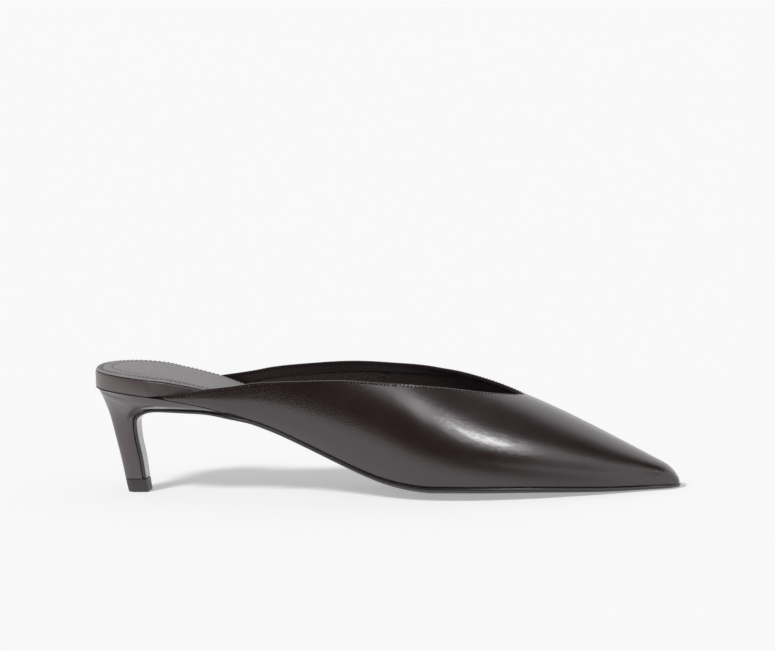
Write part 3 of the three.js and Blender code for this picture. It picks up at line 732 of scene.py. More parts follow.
# %% [markdown]
# ## Insole and sock
# The insole is a board wrapped in leather. Round the open seat its edge shows as a tall rand. The sock lies
# on it: thin leather over foam, with a rounded, stitched edge, a groove inside that, and a padded seat.


# %% Plates that follow the bed's outline
def bed_stations(fineness):
    """Stations from the toe tip back to the seat, closer where the outline rounds."""
    toe_start = foot_length - toe_round
    turn = np.linspace(0, math.pi / 2, 10 * fineness, endpoint=False)
    between = np.linspace(toe_start, seat_round, 30 * fineness, endpoint=False)
    seat = np.linspace(math.pi / 2, 0, 16 * fineness)
    return np.concatenate([toe_start + toe_round * np.cos(turn), between, seat_round * (1 - np.cos(seat))])


def insole_inset(x):
    return (upper_wall + clearance) * rand_step(x) + clearance * toward_toe(x)


def rand_step(x):
    return ease(x, wing_start - rand_step_run, wing_start)


def lasting_room(x):
    return (lasting_wall + clearance) * rand_step(x)


def insole_top(x):
    return bed_edge(x) + insole_height(x)


def rim_radius(x):
    return np.minimum(rand_radius, insole_height(x) * rim_share)


def footbed(x, y):
    return insole_top(x) - dish(x, y) * footbed_share


def make_plate(name, rings, low, high, materials, replaced, finish=0, columns=24, fineness=4):
    """A closed plate: rings round the outline, then a grid over its underside and its top."""
    skin = Skin()
    xs = bed_stations(fineness)
    sides = {}
    for side in (LATERAL, MEDIAL):
        placed = []
        for inset, height in rings:
            x, y = edge_point(xs, side, inset(xs))
            placed.append(np.stack([x, y, height(x, y)], axis=-1))
        sides[side] = np.stack(placed, axis=1)
        skin.join(skin.rows(sides[side]), finish)
    for ring, height in ((0, low), (-1, high)):
        share = np.linspace(0, 1, columns + 1)[None, :, None]
        grid = mix(sides[LATERAL][:, ring][:, None], sides[MEDIAL][:, ring][:, None], share)
        inner = slice(1, -1)
        grid[:, inner, 2] = height(grid[:, inner, 0], grid[:, inner, 1])
        skin.join(skin.rows(grid))
    return make_piece(name, skin, materials, replaced)


corner_steps = 4


def make_rand(materials):
    room_inset = lambda x: np.maximum(lasting_at(x), insole_inset(x)) + clearance
    raised = lambda x, y: bed(x, y) + lasting_room(x)
    corner = np.linspace(0, math.pi / 2, corner_steps + 1)
    rings = [
        (lambda x: room_inset(x) + clearance, bed),
        (room_inset, raised),
        (lambda x: insole_inset(x) + rim_radius(x), raised),
    ]
    for turn in corner:
        rings.append((
            lambda x, t=turn: insole_inset(x) + rim_radius(x) * (1 - math.sin(t)),
            lambda x, y, t=turn: raised(x, y) + rim_radius(x) * (1 - math.cos(t)),
        ))
    for turn in corner:
        rings.append((
            lambda x, t=turn: insole_inset(x) + rim_radius(x) * (1 - math.cos(t)),
            lambda x, y, t=turn: (
                mix(insole_top(x), footbed(x, y), math.sin(t)) - rim_radius(x) * (1 - math.sin(t))
            ),
        ))
    return make_plate("rand", rings, bed, footbed, materials, "insole")


groove_distance = 2.7
groove_width = 0.5
groove_depth = 0.6
heel_line_distance = 7.4
heel_line_width = 0.7
heel_line_depth = 0.3
heel_line_end = 34.0
heel_line_fade = 12.0
# The sock's faces between these distances from its edge, along the groove, take a darker leather: painted
# shade in the groove.
groove_shade_from = 2.4
groove_shade_to = 2.9
toe_narrowing = 0.93
sock_distances = [
    2.0, 2.2, 2.45, 2.7, 2.95, 3.2, 3.5, 4.2, 5.2, 6.1, 6.7, 7.05, 7.4, 7.75, 8.1, 8.8, 9.8,
]


def sock_edge(x):
    return insole_inset(x) + clearance * (1 + 2 * toward_toe(x))


def padding(x, y):
    inset = sock_edge(x)
    back = np.clip((seat_round - x) / (seat_round - inset), 0, None)
    side = np.abs(y - middle(x)) / ((inner_edge(x) + outer_edge(x)) / 2 - inset)
    out = np.minimum(1, np.hypot(back, side))
    fade = 1 - ease(x, seat_round / 2, seat_round / 2 + sock_fade)
    return sock_crown * fade * (1 - out ** 4)


def sock_depth(x):
    return mix(sock_thickness, sock_toe_thickness, toward_toe(x))


def sock_top(x, y):
    return footbed(x, y) + clearance + sock_depth(x) + padding(x, y)


def sock_room(x):
    """Shrinks distances from the sock's edge towards the narrow toe."""
    return 1 - toe_narrowing * ease(x, throat, foot_length - toe_round)


def sock_inset(x, distance):
    return sock_edge(x) + distance * sock_room(x)


def trough(distance, centre, width, depth):
    return depth * np.exp(-((distance - centre) / width) ** 2)


def make_sock(materials):
    under = lambda x, y: footbed(x, y) + clearance
    rings = [(lambda x: sock_edge(x) + clearance, under)]
    for turn in np.radians(np.linspace(4, 90, 9)):
        rings.append((
            lambda x, t=turn: sock_inset(x, sock_shoulder * (1 - math.cos(t))),
            lambda x, y, t=turn: mix(under(x, y), sock_top(x, y), math.sin(t)),
        ))
    finish = [0] * len(rings)
    for distance in sock_distances:
        def height(x, y, d=distance):
            line = 1 - ease(x, heel_line_end - heel_line_fade, heel_line_end)
            sunk = trough(d, groove_distance, groove_width, groove_depth)
            sunk = sunk + trough(d, heel_line_distance, heel_line_width, heel_line_depth) * line
            return sock_top(x, y) - sunk * sock_room(x)
        rings.append((lambda x, d=distance: sock_inset(x, d), height))
        # Faces in the groove get the darker material, which is painted shade.
        finish.append(1 if groove_shade_from < distance < groove_shade_to else 0)
    piece = make_plate("sock_lining", rings, under, sock_top, materials, "sock", finish)
    return piece


# %% [markdown]
# ## Outsole, heel and top lift
# The thin sole runs from the toe to the waist, narrows into a flap under the seat and turns down the breast
# of the heel. Both it and the heel are made as a few levels, as a maker would draw them, with a smooth skin
# drawn through the levels.


# %% Levels and the skin through them
def drawn_through(levels, fineness):
    """More rows between the given ones, on splines through each column of points."""
    levels = np.asarray(levels, float)
    count = (len(levels) - 1) * fineness + 1
    return spline(np.arange(len(levels)), levels)(np.linspace(0, len(levels) - 1, count))


def above_lift(share):
    return mix(top_lift_height + clearance, heel_height, share)


def sole_top_edge(x):
    return middle_height(x) + edge_rise(x) + sole_depth(x)


flap_at = flap["at"] * foot_length
flap_end = flap_at[-1]
breast_rows = [breast["forward"] * foot_length, above_lift(breast["height"]), breast["width"] * tread_half]
flap_rows = [flap_at, sole_top_edge(flap_at), flap_width(flap_at)]
path_rows = np.concatenate([np.stack(breast_rows, axis=1), np.stack(flap_rows, axis=1)])
path = spline(np.arange(len(path_rows)), path_rows)
path_end = len(path_rows) - 1
breast_end = len(breast["height"])


def path_out(index):
    """Direction out of the heel at a place on the joint between heel and flap, as X and Z."""
    ahead = path(index + probe)
    behind = path(index - probe)
    return unit(np.array([ahead[1] - behind[1], behind[0] - ahead[0]]))


# %% The outsole
sole_bevel = 0.35
toe_nip = 0.01
sole_toe_rows = 10
sole_long_rows = 34
sole_flap_rows = 36
sole_fineness = 3
sole_columns = np.array([-1, -0.85, -0.7, -0.5, -0.35, -0.2, 0, 0.2, 0.35, 0.5, 0.7, 0.85, 1])


def sole_section(place, top_z, drop, lean=(0.0, 1.0)):
    """A ring round the sole: over its top, down one edge, back under it and up the other edge."""
    bevel = min(sole_bevel, drop / 3)

    def point(across, inset, depth):
        x, y = place(across, inset)
        return [x - lean[0] * depth, y, top_z(x, y) - lean[1] * depth]

    top = [point(across, bevel, 0) for across in sole_columns]
    under = [point(across, bevel, drop) for across in sole_columns[::-1]]
    right = [point(1, 0, bevel), point(1, 0, drop - bevel)]
    left = [point(-1, 0, drop - bevel), point(-1, 0, bevel)]
    return [*top, *right, *under, *left]


def full_section(x):
    slope = (sole_top_edge(x + probe) - sole_top_edge(x - probe)) / (2 * probe)
    drop = float(sole_depth(x) * math.sqrt(1 + slope ** 2))

    def place(across, inset):
        side = LATERAL if across < 0 else MEDIAL
        if x >= foot_length:
            return foot_length + sole_reveal - inset, float(middle(foot_length)) + across * toe_nip
        edge_x, edge = edge_point(x, side, inset - sole_reveal)
        share = abs(across)
        return float(mix(x, edge_x, share)), float(mix(middle(x), edge, share))

    return sole_section(place, lambda a, b: float(sole_top_edge(x) - dish(a, b)), drop)


def flap_section(index):
    out = path_out(index)
    x, z, width = path(index)
    blend = float(ease(index, breast_end, path_end))
    drop = float(mix(flap_thickness, sole_depth(flap_end), blend))
    centre = float(middle(flap_end)) * blend

    def place(across, inset):
        return x, across * (width - inset) + centre

    def top_z(a, b):
        return z - (float(dish(a, b)) * blend if index > breast_end else 0.0)

    return sole_section(place, top_z, drop, lean=(-out[0], -out[1]))


def make_sole(materials):
    toe_start = foot_length - toe_round
    turns = np.linspace(math.pi / 2, 0, sole_toe_rows, endpoint=False)
    rows = [full_section(toe_start + toe_round * math.sin(turn)) for turn in turns]
    rows += [full_section(x) for x in np.linspace(toe_start, flap_end + waist_run, sole_long_rows)]
    rows += [flap_section(index) for index in np.linspace(path_end, 0, sole_flap_rows)]
    fine = drawn_through(rows, sole_fineness)
    skin = Skin()
    numbers = skin.rows(fine)
    count = len(sole_columns)
    edge = {count - 1, count, count + 1, 2 * count + 1, 2 * count + 2, 2 * count + 3}
    finish = [1 if k in edge else 0 for k in range(numbers.shape[1])]
    skin.join(numbers, finish, ring=True)
    skin.close(numbers, finish=1)
    return make_piece("sole", skin, materials, "outsole")


# %% The heel
heel_arc = 30
heel_flank = 20
heel_fineness = 7
heel_across = 9
heel_sharp = 50


def round_back(back_x, side_x, side_y, square, count):
    """A quarter of a rounded square, from the back to the widest place."""
    turn = np.linspace(0, math.pi / 2, count)
    bow = 2 / square
    return side_x - (side_x - back_x) * np.cos(turn) ** bow, side_y * np.sin(turn) ** bow


def heel_level(level):
    """Half of one level of the heel, from the back round to the breast, before it is mirrored."""
    start, share, width, widest, square = (column[level] for column in heel_levels.values())
    out = path_out(start)
    front_x, front_z, front_y = path(start)
    front_x = front_x - out[0] * clearance
    front_z = front_z - out[1] * clearance
    back_z = above_lift(share)
    back_x = heel_inset(back_z / heel_height) * foot_length
    side_x = widest * foot_length
    side_y = width * tread_half
    arc_x, arc_y = round_back(back_x, side_x, side_y, square, heel_arc)
    t = np.linspace(0, 1, heel_flank + 1)[1:]
    xs = np.concatenate([arc_x, mix(side_x, front_x, t)])
    ys = np.concatenate([arc_y, side_y + (front_y - side_y) * t ** flank_taper])
    zs = mix(front_z, back_z, np.clip((front_x - xs) / (front_x - back_x), 0, 1))
    shift = middle(xs) * ease(start, breast_end, len(path_rows))
    return {side: np.stack([xs, shift + side * ys, zs], axis=1) for side in (LATERAL, MEDIAL)}


def heel_seat():
    turn = np.linspace(0, math.pi / 2, heel_arc)
    t = np.linspace(0, 1, heel_flank + 1)[1:]
    xs = np.concatenate([seat_round * (1 - np.cos(turn)), mix(seat_round, flap_end - clearance, t)])
    level = {}
    for side in (LATERAL, MEDIAL):
        x, y = edge_point(xs, side, 0)
        level[side] = np.stack([x, y, bed(x, y) - clearance], axis=1)
    return level


def make_heel(materials):
    levels = [heel_level(i) for i in range(len(heel_levels["path"]))] + [heel_seat()]
    rows = {
        side: drawn_through([level[side] for level in levels], heel_fineness) for side in (LATERAL, MEDIAL)
    }
    skin = Skin()
    whole = np.concatenate([rows[LATERAL][:, ::-1], rows[MEDIAL][:, 1:]], axis=1)
    skin.join(skin.rows(whole))
    share = np.linspace(0, 1, heel_across)[None, :, None]
    breast_grid = mix(rows[LATERAL][:, -1][:, None], rows[MEDIAL][:, -1][:, None], share)
    skin.join(skin.rows(breast_grid))
    for level in (0, -1):
        cap = mix(rows[LATERAL][level][:, None], rows[MEDIAL][level][:, None], share)
        if level:
            cap[:, 1:-1, 2] = bed(cap[:, 1:-1, 0], cap[:, 1:-1, 1]) - clearance
        skin.join(skin.rows(cap))
    piece = make_piece("heel_cover", skin, materials, "heel")
    fold_smooth(piece, heel_sharp)
    return piece


# %% The top lift
lift_arc = 24
lift_corner = 5
lift_sharp = 40


def lift_ring(z, inset):
    low, above = path(0.0), path(1.0)
    front = mix(low[0], above[0], (z - low[1]) / (above[1] - low[1])) + flap_thickness
    back_x = heel_inset(z / heel_height) * foot_length + inset
    front_x = front - inset / 2
    side_x = (back_x + front_x) / 2
    side_y = top_lift_width / 2 - inset
    xs, ys = (list(arc) for arc in round_back(back_x, side_x, side_y, top_lift_square, lift_arc))
    for corner in np.linspace(0, math.pi / 2, lift_corner):
        xs.append(front_x - top_lift_bevel * (1 - math.sin(corner)))
        ys.append(side_y - top_lift_bevel * (1 - math.cos(corner)))
    lateral = [[x, -y, z] for x, y in zip(xs, ys)]
    medial = [[x, y, z] for x, y in zip(xs, ys)]
    return lateral[::-1] + medial[1:]


def make_top_lift(materials):
    skin = Skin()
    levels = [
        (0.0, top_lift_bevel),
        (0.08, 0.22),
        (0.22, 0.08),
        (top_lift_bevel, 0.0),
        (top_lift_height / 2, 0.0),
        (top_lift_height - 0.25, 0.0),
        (top_lift_height - 0.06, 0.06),
        (top_lift_height, 0.25),
    ]
    numbers = skin.rows([lift_ring(z, inset) for z, inset in levels])
    skin.join(numbers, ring=True)
    skin.close(numbers)
    piece = make_piece("top_lift_piece", skin, materials, "top_lift")
    fold_smooth(piece, lift_sharp)
    return piece


# %% [markdown]
# ## Stitches
# A stitch is a short length of thread that dips into the leather at both ends. A loop lays them along a line,
# at an even pitch measured on the line itself.


# %% Stitches
stitch_rings = 5
stitch_sides = 6
stitch_taper = 0.93
stitch_proud = 0.45
stitch_dip = 0.9
topline_thread = {"pitch": 1.7, "length": 1.05, "radius": 0.26}
sock_edge_thread = {"pitch": 2.1, "length": 1.45, "radius": 0.2, "slant": 0.35}
heel_line_thread = {"pitch": 1.9, "length": 1.2, "radius": 0.17}
sock_seam_distance = 1.25


def place_on(rows, run, at):
    """The row of points, or of directions, at a length along the line."""
    return np.array([np.interp(at, run, rows[:, axis]) for axis in range(3)])


def stitches_along(skin, points, normals, pitch, length, radius, slant=0.0):
    """Adds one small spindle of thread for every pitch of the line."""
    gaps = np.linalg.norm(np.diff(points, axis=0), axis=1)
    run = np.concatenate([[0], np.cumsum(gaps)])
    centres = np.arange(pitch, run[-1] - pitch, pitch)
    turn = np.linspace(0, 2 * math.pi, stitch_sides, endpoint=False)[:, None]
    for centre in centres:
        out = unit(place_on(normals, run, centre))
        along = unit(place_on(points, run, centre + length / 2) - place_on(points, run, centre - length / 2))
        across = unit(np.cross(out, along))
        along = unit(along + across * slant)
        across = unit(np.cross(out, along))
        rows = []
        for t in np.linspace(-1, 1, stitch_rings):
            fat = radius * math.sqrt(1 - (stitch_taper * t) ** 2)
            lift = out * radius * (stitch_proud - stitch_dip * t * t)
            heart = place_on(points, run, centre) + along * t * length / 2 + lift
            rows.append(heart + across * np.cos(turn) * fat + out * np.sin(turn) * fat)
        numbers = skin.rows(rows)
        skin.join(numbers, ring=True)
        skin.close(numbers)
    return len(centres)


def topline_seam(side, face):
    """The line of the topline's stitches on one face of the wall, with the direction out of the leather."""
    x = np.linspace(wing_start + 1.5, throat - 1.2, 400)
    outer_top, spread, _, room = topline(x, side)
    angle = outer_top - stitch_distance * room / spread
    out = section_frame(x, side, angle)[0]
    if face == "inside":
        return section_point(x, side, angle) - out * wall_at(x)[:, None], -out
    return section_point(x, side, angle) - out * stitch_draw, out


def make_topline_stitches(materials):
    skin = Skin()
    count = 0
    for side in (LATERAL, MEDIAL):
        for face in ("outside", "inside"):
            points, normals = topline_seam(side, face)
            count += stitches_along(skin, points, normals, **topline_thread)
    print("topline stitches:", count)
    return make_piece("topline_stitches", skin, materials)


def sock_seam(distance, furthest):
    """A line on the sock at a distance from its edge, from one side round the seat to the other."""
    turn = np.linspace(0, math.pi / 2, 120)
    xs = np.concatenate([seat_round * (1 - np.cos(turn)), np.linspace(seat_round, furthest, 300)[1:]])
    lines = []
    for side in (LATERAL, MEDIAL):
        x, y = edge_point(xs, side, sock_inset(xs, distance))
        shoulder = np.clip(1 - distance / sock_shoulder, 0, 1)
        share = math.sqrt(1 - float(shoulder) ** 2)
        z = mix(footbed(x, y) + clearance, sock_top(x, y), share)
        lines.append(np.stack([x, y, z], axis=1))
    points = np.concatenate([lines[0][::-1], lines[1][1:]])
    lean = float(np.clip(1 - distance / sock_shoulder, 0, 1))
    sideways = np.concatenate([np.full(len(xs), -1.0), np.full(len(xs) - 1, 1.0)]) * lean
    along = np.gradient(points, axis=0)
    outwards = unit(np.stack([along[:, 1], -along[:, 0], np.zeros(len(points))], axis=1))
    outwards = outwards * np.sign(np.sum(outwards[:, 1] * sideways + 1e-9))
    return points, unit(outwards * lean + np.array([0, 0, 1.0]))


def make_sock_stitches(materials):
    skin = Skin()
    points, normals = sock_seam(sock_seam_distance, throat)
    count = stitches_along(skin, points, normals, **sock_edge_thread)
    points, normals = sock_seam(heel_line_distance, heel_line_end - 6)
    points[:, 2] -= heel_line_depth * 0.9
    count += stitches_along(skin, points, normals, **heel_line_thread)
    print("sock stitches:", count)
    return make_piece("sock_stitches", skin, materials)


# %% [markdown]
# ## Finishes
# All the leathers share two effects, so these are node groups: the grain, which is small cells with fine
# wrinkles, and the tone, which is the slight cloudiness of dyed leather. Each material places them with its
# own values, and keeps its own shader.


# %% Helpers for node trees
def link(tree, source, target):
    tree.links.new(source, target)


def new_group(name, inputs, outputs):
    """An empty node group with named sockets, and its two end nodes."""
    group = bpy.data.node_groups.new(name, "ShaderNodeTree")
    for label, kind, value in inputs:
        socket = group.interface.new_socket(label, in_out="INPUT", socket_type=kind)
        socket.default_value = value
    for label, kind in outputs:
        group.interface.new_socket(label, in_out="OUTPUT", socket_type=kind)
    return group, group.nodes.new("NodeGroupInput"), group.nodes.new("NodeGroupOutput")


def fill(node, values):
    """Sets the node's inputs by their names."""
    for label, value in values.items():
        node.inputs[label].default_value = value


def use_group(tree, group, values):
    """A node of the group in a tree, with these values in its inputs."""
    node = tree.nodes.new("ShaderNodeGroup")
    node.node_tree = group
    fill(node, values)
    return node


def math_node(tree, operation, first, second):
    node = tree.nodes.new("ShaderNodeMath")
    node.operation = operation
    for socket, value in zip(node.inputs, (first, second)):
        if isinstance(value, bpy.types.NodeSocket):
            link(tree, value, socket)
        else:
            socket.default_value = value
    return node.outputs[0]


def soft_step(tree, value, low, high):
    """0 below low and 1 above high, with soft ends. The other way round where low is the larger."""
    step = tree.nodes.new("ShaderNodeMapRange")
    step.interpolation_type = "SMOOTHSTEP"
    fill(step, {"From Min": low, "From Max": high})
    link(tree, value, step.inputs["Value"])
    return step.outputs["Result"]


# %% The grain group
def make_grain_group():
    group, given, result = new_group(
        "leather grain",
        [("Cells per metre", "NodeSocketFloat", 1500.0), ("Wrinkles", "NodeSocketFloat", 0.4)],
        [("Height", "NodeSocketFloat"), ("Pores", "NodeSocketFloat")],
    )
    place = group.nodes.new("ShaderNodeTexCoord")
    cells = group.nodes.new("ShaderNodeTexVoronoi")
    cells.feature = "SMOOTH_F1"
    fill(cells, {"Smoothness": 0.6})
    link(group, place.outputs["Object"], cells.inputs["Vector"])
    link(group, given.outputs["Cells per metre"], cells.inputs["Scale"])
    folds = group.nodes.new("ShaderNodeTexNoise")
    fill(folds, {"Detail": 3.0, "Roughness": 0.6})
    link(group, place.outputs["Object"], folds.inputs["Vector"])
    link(group, math_node(group, "MULTIPLY", given.outputs["Cells per metre"], 0.35), folds.inputs["Scale"])
    dome = math_node(group, "SUBTRACT", 1.0, cells.outputs["Distance"])
    wrinkle = math_node(group, "MULTIPLY", folds.outputs["Fac"], given.outputs["Wrinkles"])
    link(group, math_node(group, "ADD", dome, wrinkle), result.inputs["Height"])
    link(group, cells.outputs["Distance"], result.inputs["Pores"])
    return group


# %% The tone group
def make_tone_group():
    group, given, result = new_group(
        "dyed tone",
        [
            ("Deep", "NodeSocketColor", (0.05, 0.04, 0.04, 1)),
            ("Light", "NodeSocketColor", (0.08, 0.06, 0.06, 1)),
            ("Clouds per metre", "NodeSocketFloat", 40.0),
            ("Pores", "NodeSocketFloat", 0.5),
            ("Pore tone", "NodeSocketFloat", 0.2),
            ("Least roughness", "NodeSocketFloat", 0.25),
            ("Most roughness", "NodeSocketFloat", 0.4),
        ],
        [("Color", "NodeSocketColor"), ("Roughness", "NodeSocketFloat")],
    )
    place = group.nodes.new("ShaderNodeTexCoord")
    clouds = group.nodes.new("ShaderNodeTexNoise")
    fill(clouds, {"Detail": 5.0, "Roughness": 0.55})
    link(group, place.outputs["Object"], clouds.inputs["Vector"])
    link(group, given.outputs["Clouds per metre"], clouds.inputs["Scale"])
    darker = math_node(group, "MULTIPLY", given.outputs["Pores"], given.outputs["Pore tone"])
    share = math_node(group, "SUBTRACT", clouds.outputs["Fac"], darker)
    blend = group.nodes.new("ShaderNodeMix")
    blend.data_type = "RGBA"
    link(group, share, blend.inputs["Factor"])
    link(group, given.outputs["Deep"], blend.inputs["A"])
    link(group, given.outputs["Light"], blend.inputs["B"])
    link(group, blend.outputs["Result"], result.inputs["Color"])
    gloss = group.nodes.new("ShaderNodeMapRange")
    fill(gloss, {"From Min": 0.3, "From Max": 0.7})
    link(group, clouds.outputs["Fac"], gloss.inputs["Value"])
    link(group, given.outputs["Least roughness"], gloss.inputs["To Min"])
    link(group, given.outputs["Most roughness"], gloss.inputs["To Max"])
    link(group, gloss.outputs["Result"], result.inputs["Roughness"])
    return group


grain_group = make_grain_group()
tone_group = make_tone_group()


# %% Materials
bump_strength = 0.8
plain_ior = 1.5
coated_ior = 1.7


def leather(name, deep, light, cells, wrinkles, relief, rough, coat, coat_rough, clouds, pore_tone):
    """A leather: the two groups, and a shader with constant gloss."""
    material = bpy.data.materials.new(name)
    material.use_nodes = True
    tree = material.node_tree
    shader = tree.nodes["Principled BSDF"]
    grain = use_group(tree, grain_group, {"Cells per metre": cells, "Wrinkles": wrinkles})
    tone = use_group(tree, tone_group, {
        "Deep": (*deep, 1),
        "Light": (*light, 1),
        "Clouds per metre": clouds,
        "Pore tone": pore_tone,
        "Least roughness": rough[0],
        "Most roughness": rough[1],
    })
    link(tree, grain.outputs["Pores"], tone.inputs["Pores"])
    bump = tree.nodes.new("ShaderNodeBump")
    fill(bump, {"Strength": bump_strength, "Distance": relief * millimetre})
    link(tree, grain.outputs["Height"], bump.inputs["Height"])
    link(tree, tone.outputs["Color"], shader.inputs["Base Color"])
    link(tree, tone.outputs["Roughness"], shader.inputs["Roughness"])
    link(tree, bump.outputs["Normal"], shader.inputs["Normal"])
    ior = coated_ior if coat else plain_ior
    fill(shader, {"IOR": ior, "Coat Weight": coat, "Coat Roughness": coat_rough})
    return material


# Tones are deep and light, relief is in millimetres, roughness goes from its least to its most.
finish_columns = "deep light cells wrinkles relief rough coat coat_rough clouds pore_tone".split()
finishes = {
    "upper calf": [
        (0.017, 0.008, 0.0085), (0.029, 0.0155, 0.0165), 1900, 0.15, 0.1, (0.2, 0.28), 0.25, 0.12, 40, 0.2],
    "lining calf": [
        (0.042, 0.028, 0.028), (0.076, 0.054, 0.054), 1100, 0.5, 0.5, (0.28, 0.38), 0, 0.2, 40, 0.2],
    "rand calf": [
        (0.066, 0.046, 0.047), (0.094, 0.07, 0.072), 1900, 0.6, 0.05, (0.3, 0.4), 0.2, 0.2, 40, 0.2],
    "heel calf": [
        (0.062, 0.046, 0.05), (0.088, 0.07, 0.075), 1900, 0.6, 0.04, (0.3, 0.4), 0.2, 0.2, 40, 0.2],
    "sock kid": [
        (0.215, 0.196, 0.202), (0.42, 0.397, 0.405), 1100, 1.5, 0.16, (0.45, 0.6), 0, 0.2, 110, 0.4],
    # The sock's leather painted darker for the shade in its groove.
    "sock groove painted shade": [
        (0.045, 0.036, 0.038), (0.08, 0.068, 0.07), 1100, 0.9, 0.1, (0.6, 0.75), 0, 0.2, 40, 0.2],
    "sole hide": [
        (0.13, 0.12, 0.12), (0.19, 0.175, 0.175), 900, 1.2, 0.03, (0.16, 0.24), 0.5, 0.1, 90, 0.2],
    "edge ink": [
        (0.014, 0.011, 0.012), (0.028, 0.023, 0.024), 2500, 0.3, 0.02, (0.3, 0.42), 0.2, 0.2, 40, 0.2],
    "lift rubber": [
        (0.045, 0.038, 0.041), (0.065, 0.057, 0.06), 3500, 0.4, 0.02, (0.42, 0.55), 0, 0.2, 40, 0.2],
    # The topline thread is near black: its own dark brown with the shade of its stitch holes painted into the
    # colour.
    "brown thread and painted hole shade": [
        (0.008, 0.005, 0.005), (0.014, 0.009, 0.009), 6000, 0.3, 0.03, (0.6, 0.7), 0, 0.2, 40, 0.2],
    "grey thread": [
        (0.13, 0.118, 0.12), (0.2, 0.185, 0.19), 6000, 0.3, 0.03, (0.6, 0.75), 0, 0.2, 40, 0.2],
}
matt_shine = 0.15
dressed = {name: leather(name, **dict(zip(finish_columns, row))) for name, row in finishes.items()}
for name in ("brown thread and painted hole shade", "grey thread"):
    fill(dressed[name].node_tree.nodes["Principled BSDF"], {"Specular IOR Level": matt_shine})
print("materials:", ", ".join(dressed))

# %% [markdown]
# ## Putting the shoe together
# The sole's own width sets the shoe across the frame, then each piece is made in turn.

# %% Putting the shoe together
tread_x = np.linspace(0, foot_length, 2000)
sole_right = edge_point(tread_x, MEDIAL, -sole_reveal)[1].max()
sole_left = edge_point(tread_x, LATERAL, -sole_reveal)[1].min()
side_shift = (sole_low.y + sole_high.y) / 2 - (sole_left + sole_right) / 2 * millimetre
print("seat back and side shift:", seat_back, side_shift)

make_camera()
make_upper([dressed["upper calf"], dressed["lining calf"]])
make_rand([dressed["rand calf"]])
make_sock([dressed["sock kid"], dressed["sock groove painted shade"]])
make_sole([dressed["sole hide"], dressed["edge ink"]])
make_heel([dressed["heel calf"]])
make_top_lift([dressed["lift rubber"]])
make_topline_stitches([dressed["brown thread and painted hole shade"]])
make_sock_stitches([dressed["grey thread"]])

# %% [markdown]
# ## Floor and light
# A product photograph of dark leather lives from what it reflects. The studio is a tent: the floor, the back
# and the right side are white, and the opening on the camera's side is dark. High in front hangs a long soft
# light. All of this is far away, in the world and in two suns, so that it lights the floor evenly and only
# the shoe's own shadow shows on it. The set is made to give the photograph's look: some lights show in gloss
# alone, and some light matt surfaces alone, as each cell says.

# %% Floor
paper_white = 0.93
paper_tone = 0.86
floor_glow = 0.317

# In front of the shoe, a little turned, a patch of the paper is painted dark, and only glossy rays see it: a
# painted reflection of a dark card that is not there. It draws the crisp line on the shoe's side between the
# pale reflection of the paper and the dark of the tent's opening.
floor_reach = 9.0
painted_reflection_near = 0.085
painted_reflection_far = 0.15
painted_reflection_right = 0.13
painted_reflection_edge = 0.06
painted_reflection_turn = 0.9


def make_floor():
    """A sheet of white paper, with a painted dark reflection worked out in its material, seen only by glossy
    rays.
    """
    mesh = bpy.data.meshes.new("floor")
    signs = [(-1, -1), (1, -1), (1, 1), (-1, 1)]
    mesh.from_pydata([(a * floor_reach, b * floor_reach, 0) for a, b in signs], [], [(0, 1, 2, 3)])
    floor = place_object("floor", mesh)
    material = bpy.data.materials.new("white paper")
    material.use_nodes = True
    tree = material.node_tree
    shader = tree.nodes["Principled BSDF"]
    fill(shader, {"Roughness": 1.0, "Specular IOR Level": 0.0, "Emission Strength": floor_glow})
    place = tree.nodes.new("ShaderNodeTexCoord")
    split = tree.nodes.new("ShaderNodeSeparateXYZ")
    link(tree, place.outputs["Object"], split.inputs["Vector"])
    across = math_node(tree, "MULTIPLY", split.outputs["X"], painted_reflection_turn)
    forward = math_node(tree, "SUBTRACT", split.outputs["Y"], across)
    ahead = soft_step(tree, forward, -painted_reflection_near, -painted_reflection_far)
    beside = soft_step(tree, split.outputs["X"], painted_reflection_right, painted_reflection_right - painted_reflection_edge)
    rays = tree.nodes.new("ShaderNodeLightPath")
    # Painted reflection: where glossy rays meet this patch, the paper's colour and glow are made dark.
    painted_reflection_place = math_node(tree, "MULTIPLY", ahead, beside)
    painted_reflection = math_node(tree, "MULTIPLY", painted_reflection_place, rays.outputs["Is Glossy Ray"])
    paper = math_node(tree, "SUBTRACT", 1.0, painted_reflection)
    link(tree, math_node(tree, "MULTIPLY", paper, paper_tone), shader.inputs["Base Color"])
    link(tree, paper, shader.inputs["Emission Color"])
    mesh.materials.append(material)


# %% World
# Each light surface of the tent: its sides and its height in degrees, how soft its edge is, how bright it is.
# Sideways, 0 is towards the camera's side and 90 towards the toe.
tent = [
    # from, to, lowest, highest, softness, radiance
    [-8, 62, 46, 58, 11, 0.85],
    [42, 130, -20, 40, 9, 1.0],
    [-130, -62, -20, 40, 9, 0.6],
    [-200, 200, 66, 100, 8, 0.2],
]
dark_opening = 0.008
back_wall = 1.0
wall_edge = (0.2, 0.6)
ceiling_edge = (62, 48)
even_light = 0.28


def choose(tree, factor, otherwise, value):
    """The value where the factor is 1, the other socket where it is 0."""
    node = tree.nodes.new("ShaderNodeMix")
    link(tree, factor, node.inputs["Factor"])
    link(tree, otherwise, node.inputs["A"])
    node.inputs["B"].default_value = value
    return node.outputs["Result"]


def soft_band(tree, value, low, high, soft):
    """1 between low and high, falling off softly past both."""
    rising = soft_step(tree, value, low - soft, low + soft)
    return math_node(tree, "MULTIPLY", rising, soft_step(tree, value, high + soft, high - soft))


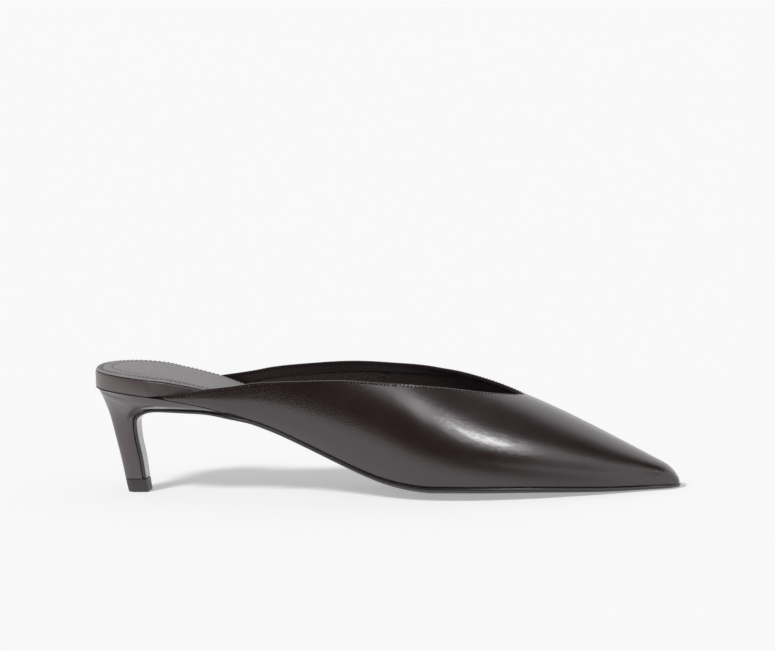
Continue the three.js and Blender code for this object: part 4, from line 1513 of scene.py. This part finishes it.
def make_world():
    """The tent as gloss reflects it. Matt surfaces get even light, and the camera sees plain paper."""
    world = bpy.data.worlds.new("studio")
    bpy.context.scene.world = world
    world.use_nodes = True
    tree = world.node_tree
    place = tree.nodes.new("ShaderNodeTexCoord")
    split = tree.nodes.new("ShaderNodeSeparateXYZ")
    link(tree, place.outputs["Generated"], split.inputs["Vector"])
    toward_camera = math_node(tree, "MULTIPLY", split.outputs["Y"], -1.0)
    turn = math_node(tree, "ARCTAN2", split.outputs["X"], toward_camera)
    sideways = math_node(tree, "DEGREES", turn, 0.0)
    height = math_node(tree, "DEGREES", math_node(tree, "ARCSINE", split.outputs["Z"], 0.0), 0.0)
    behind = soft_step(tree, split.outputs["Y"], *wall_edge)
    under_ceiling = soft_step(tree, height, *ceiling_edge)
    light = math_node(tree, "MULTIPLY", math_node(tree, "MULTIPLY", behind, under_ceiling), back_wall)
    for left, right, low, high, soft, radiance in tent:
        across = soft_band(tree, sideways, left, right, soft)
        patch = math_node(tree, "MULTIPLY", across, soft_band(tree, height, low, high, soft))
        light = math_node(tree, "MAXIMUM", light, math_node(tree, "MULTIPLY", patch, radiance))
    light = math_node(tree, "MAXIMUM", light, dark_opening)
    rays = tree.nodes.new("ShaderNodeLightPath")
    lit = choose(tree, rays.outputs["Is Diffuse Ray"], light, even_light)
    seen = choose(tree, rays.outputs["Is Camera Ray"], lit, paper_white)
    link(tree, seen, tree.nodes["Background"].inputs["Color"])


# %% Key light and glint
# Both stand far off, so each is a sun: how strong, how wide, how far sideways and how high in degrees. The
# key comes from the left of the camera and throws the soft shadow, and gloss doesn't show it. The glint makes
# the highlight on the vamp, and lights nothing matt.
suns = {
    "key": [1.93, 13, -37, 45],
    "glint": [1.25, 14, 29, 50],
}


def make_sun(name, strength, spread, sideways, height):
    data = bpy.data.lights.new(name, "SUN")
    data.energy = strength
    data.angle = math.radians(spread)
    light = place_object(name, data)
    turn = math.radians(sideways)
    forward = math.cos(math.radians(height))
    up = math.sin(math.radians(height))
    source = Vector((math.sin(turn) * forward, -math.cos(turn) * forward, up))
    light.location = source
    light.rotation_euler = source.to_track_quat("Z", "Y").to_euler()
    return light


make_floor()
make_world()
make_sun("key", *suns["key"]).visible_glossy = False
make_sun("glint", *suns["glint"]).visible_diffuse = False
bpy.context.scene.view_settings.view_transform = "Standard"
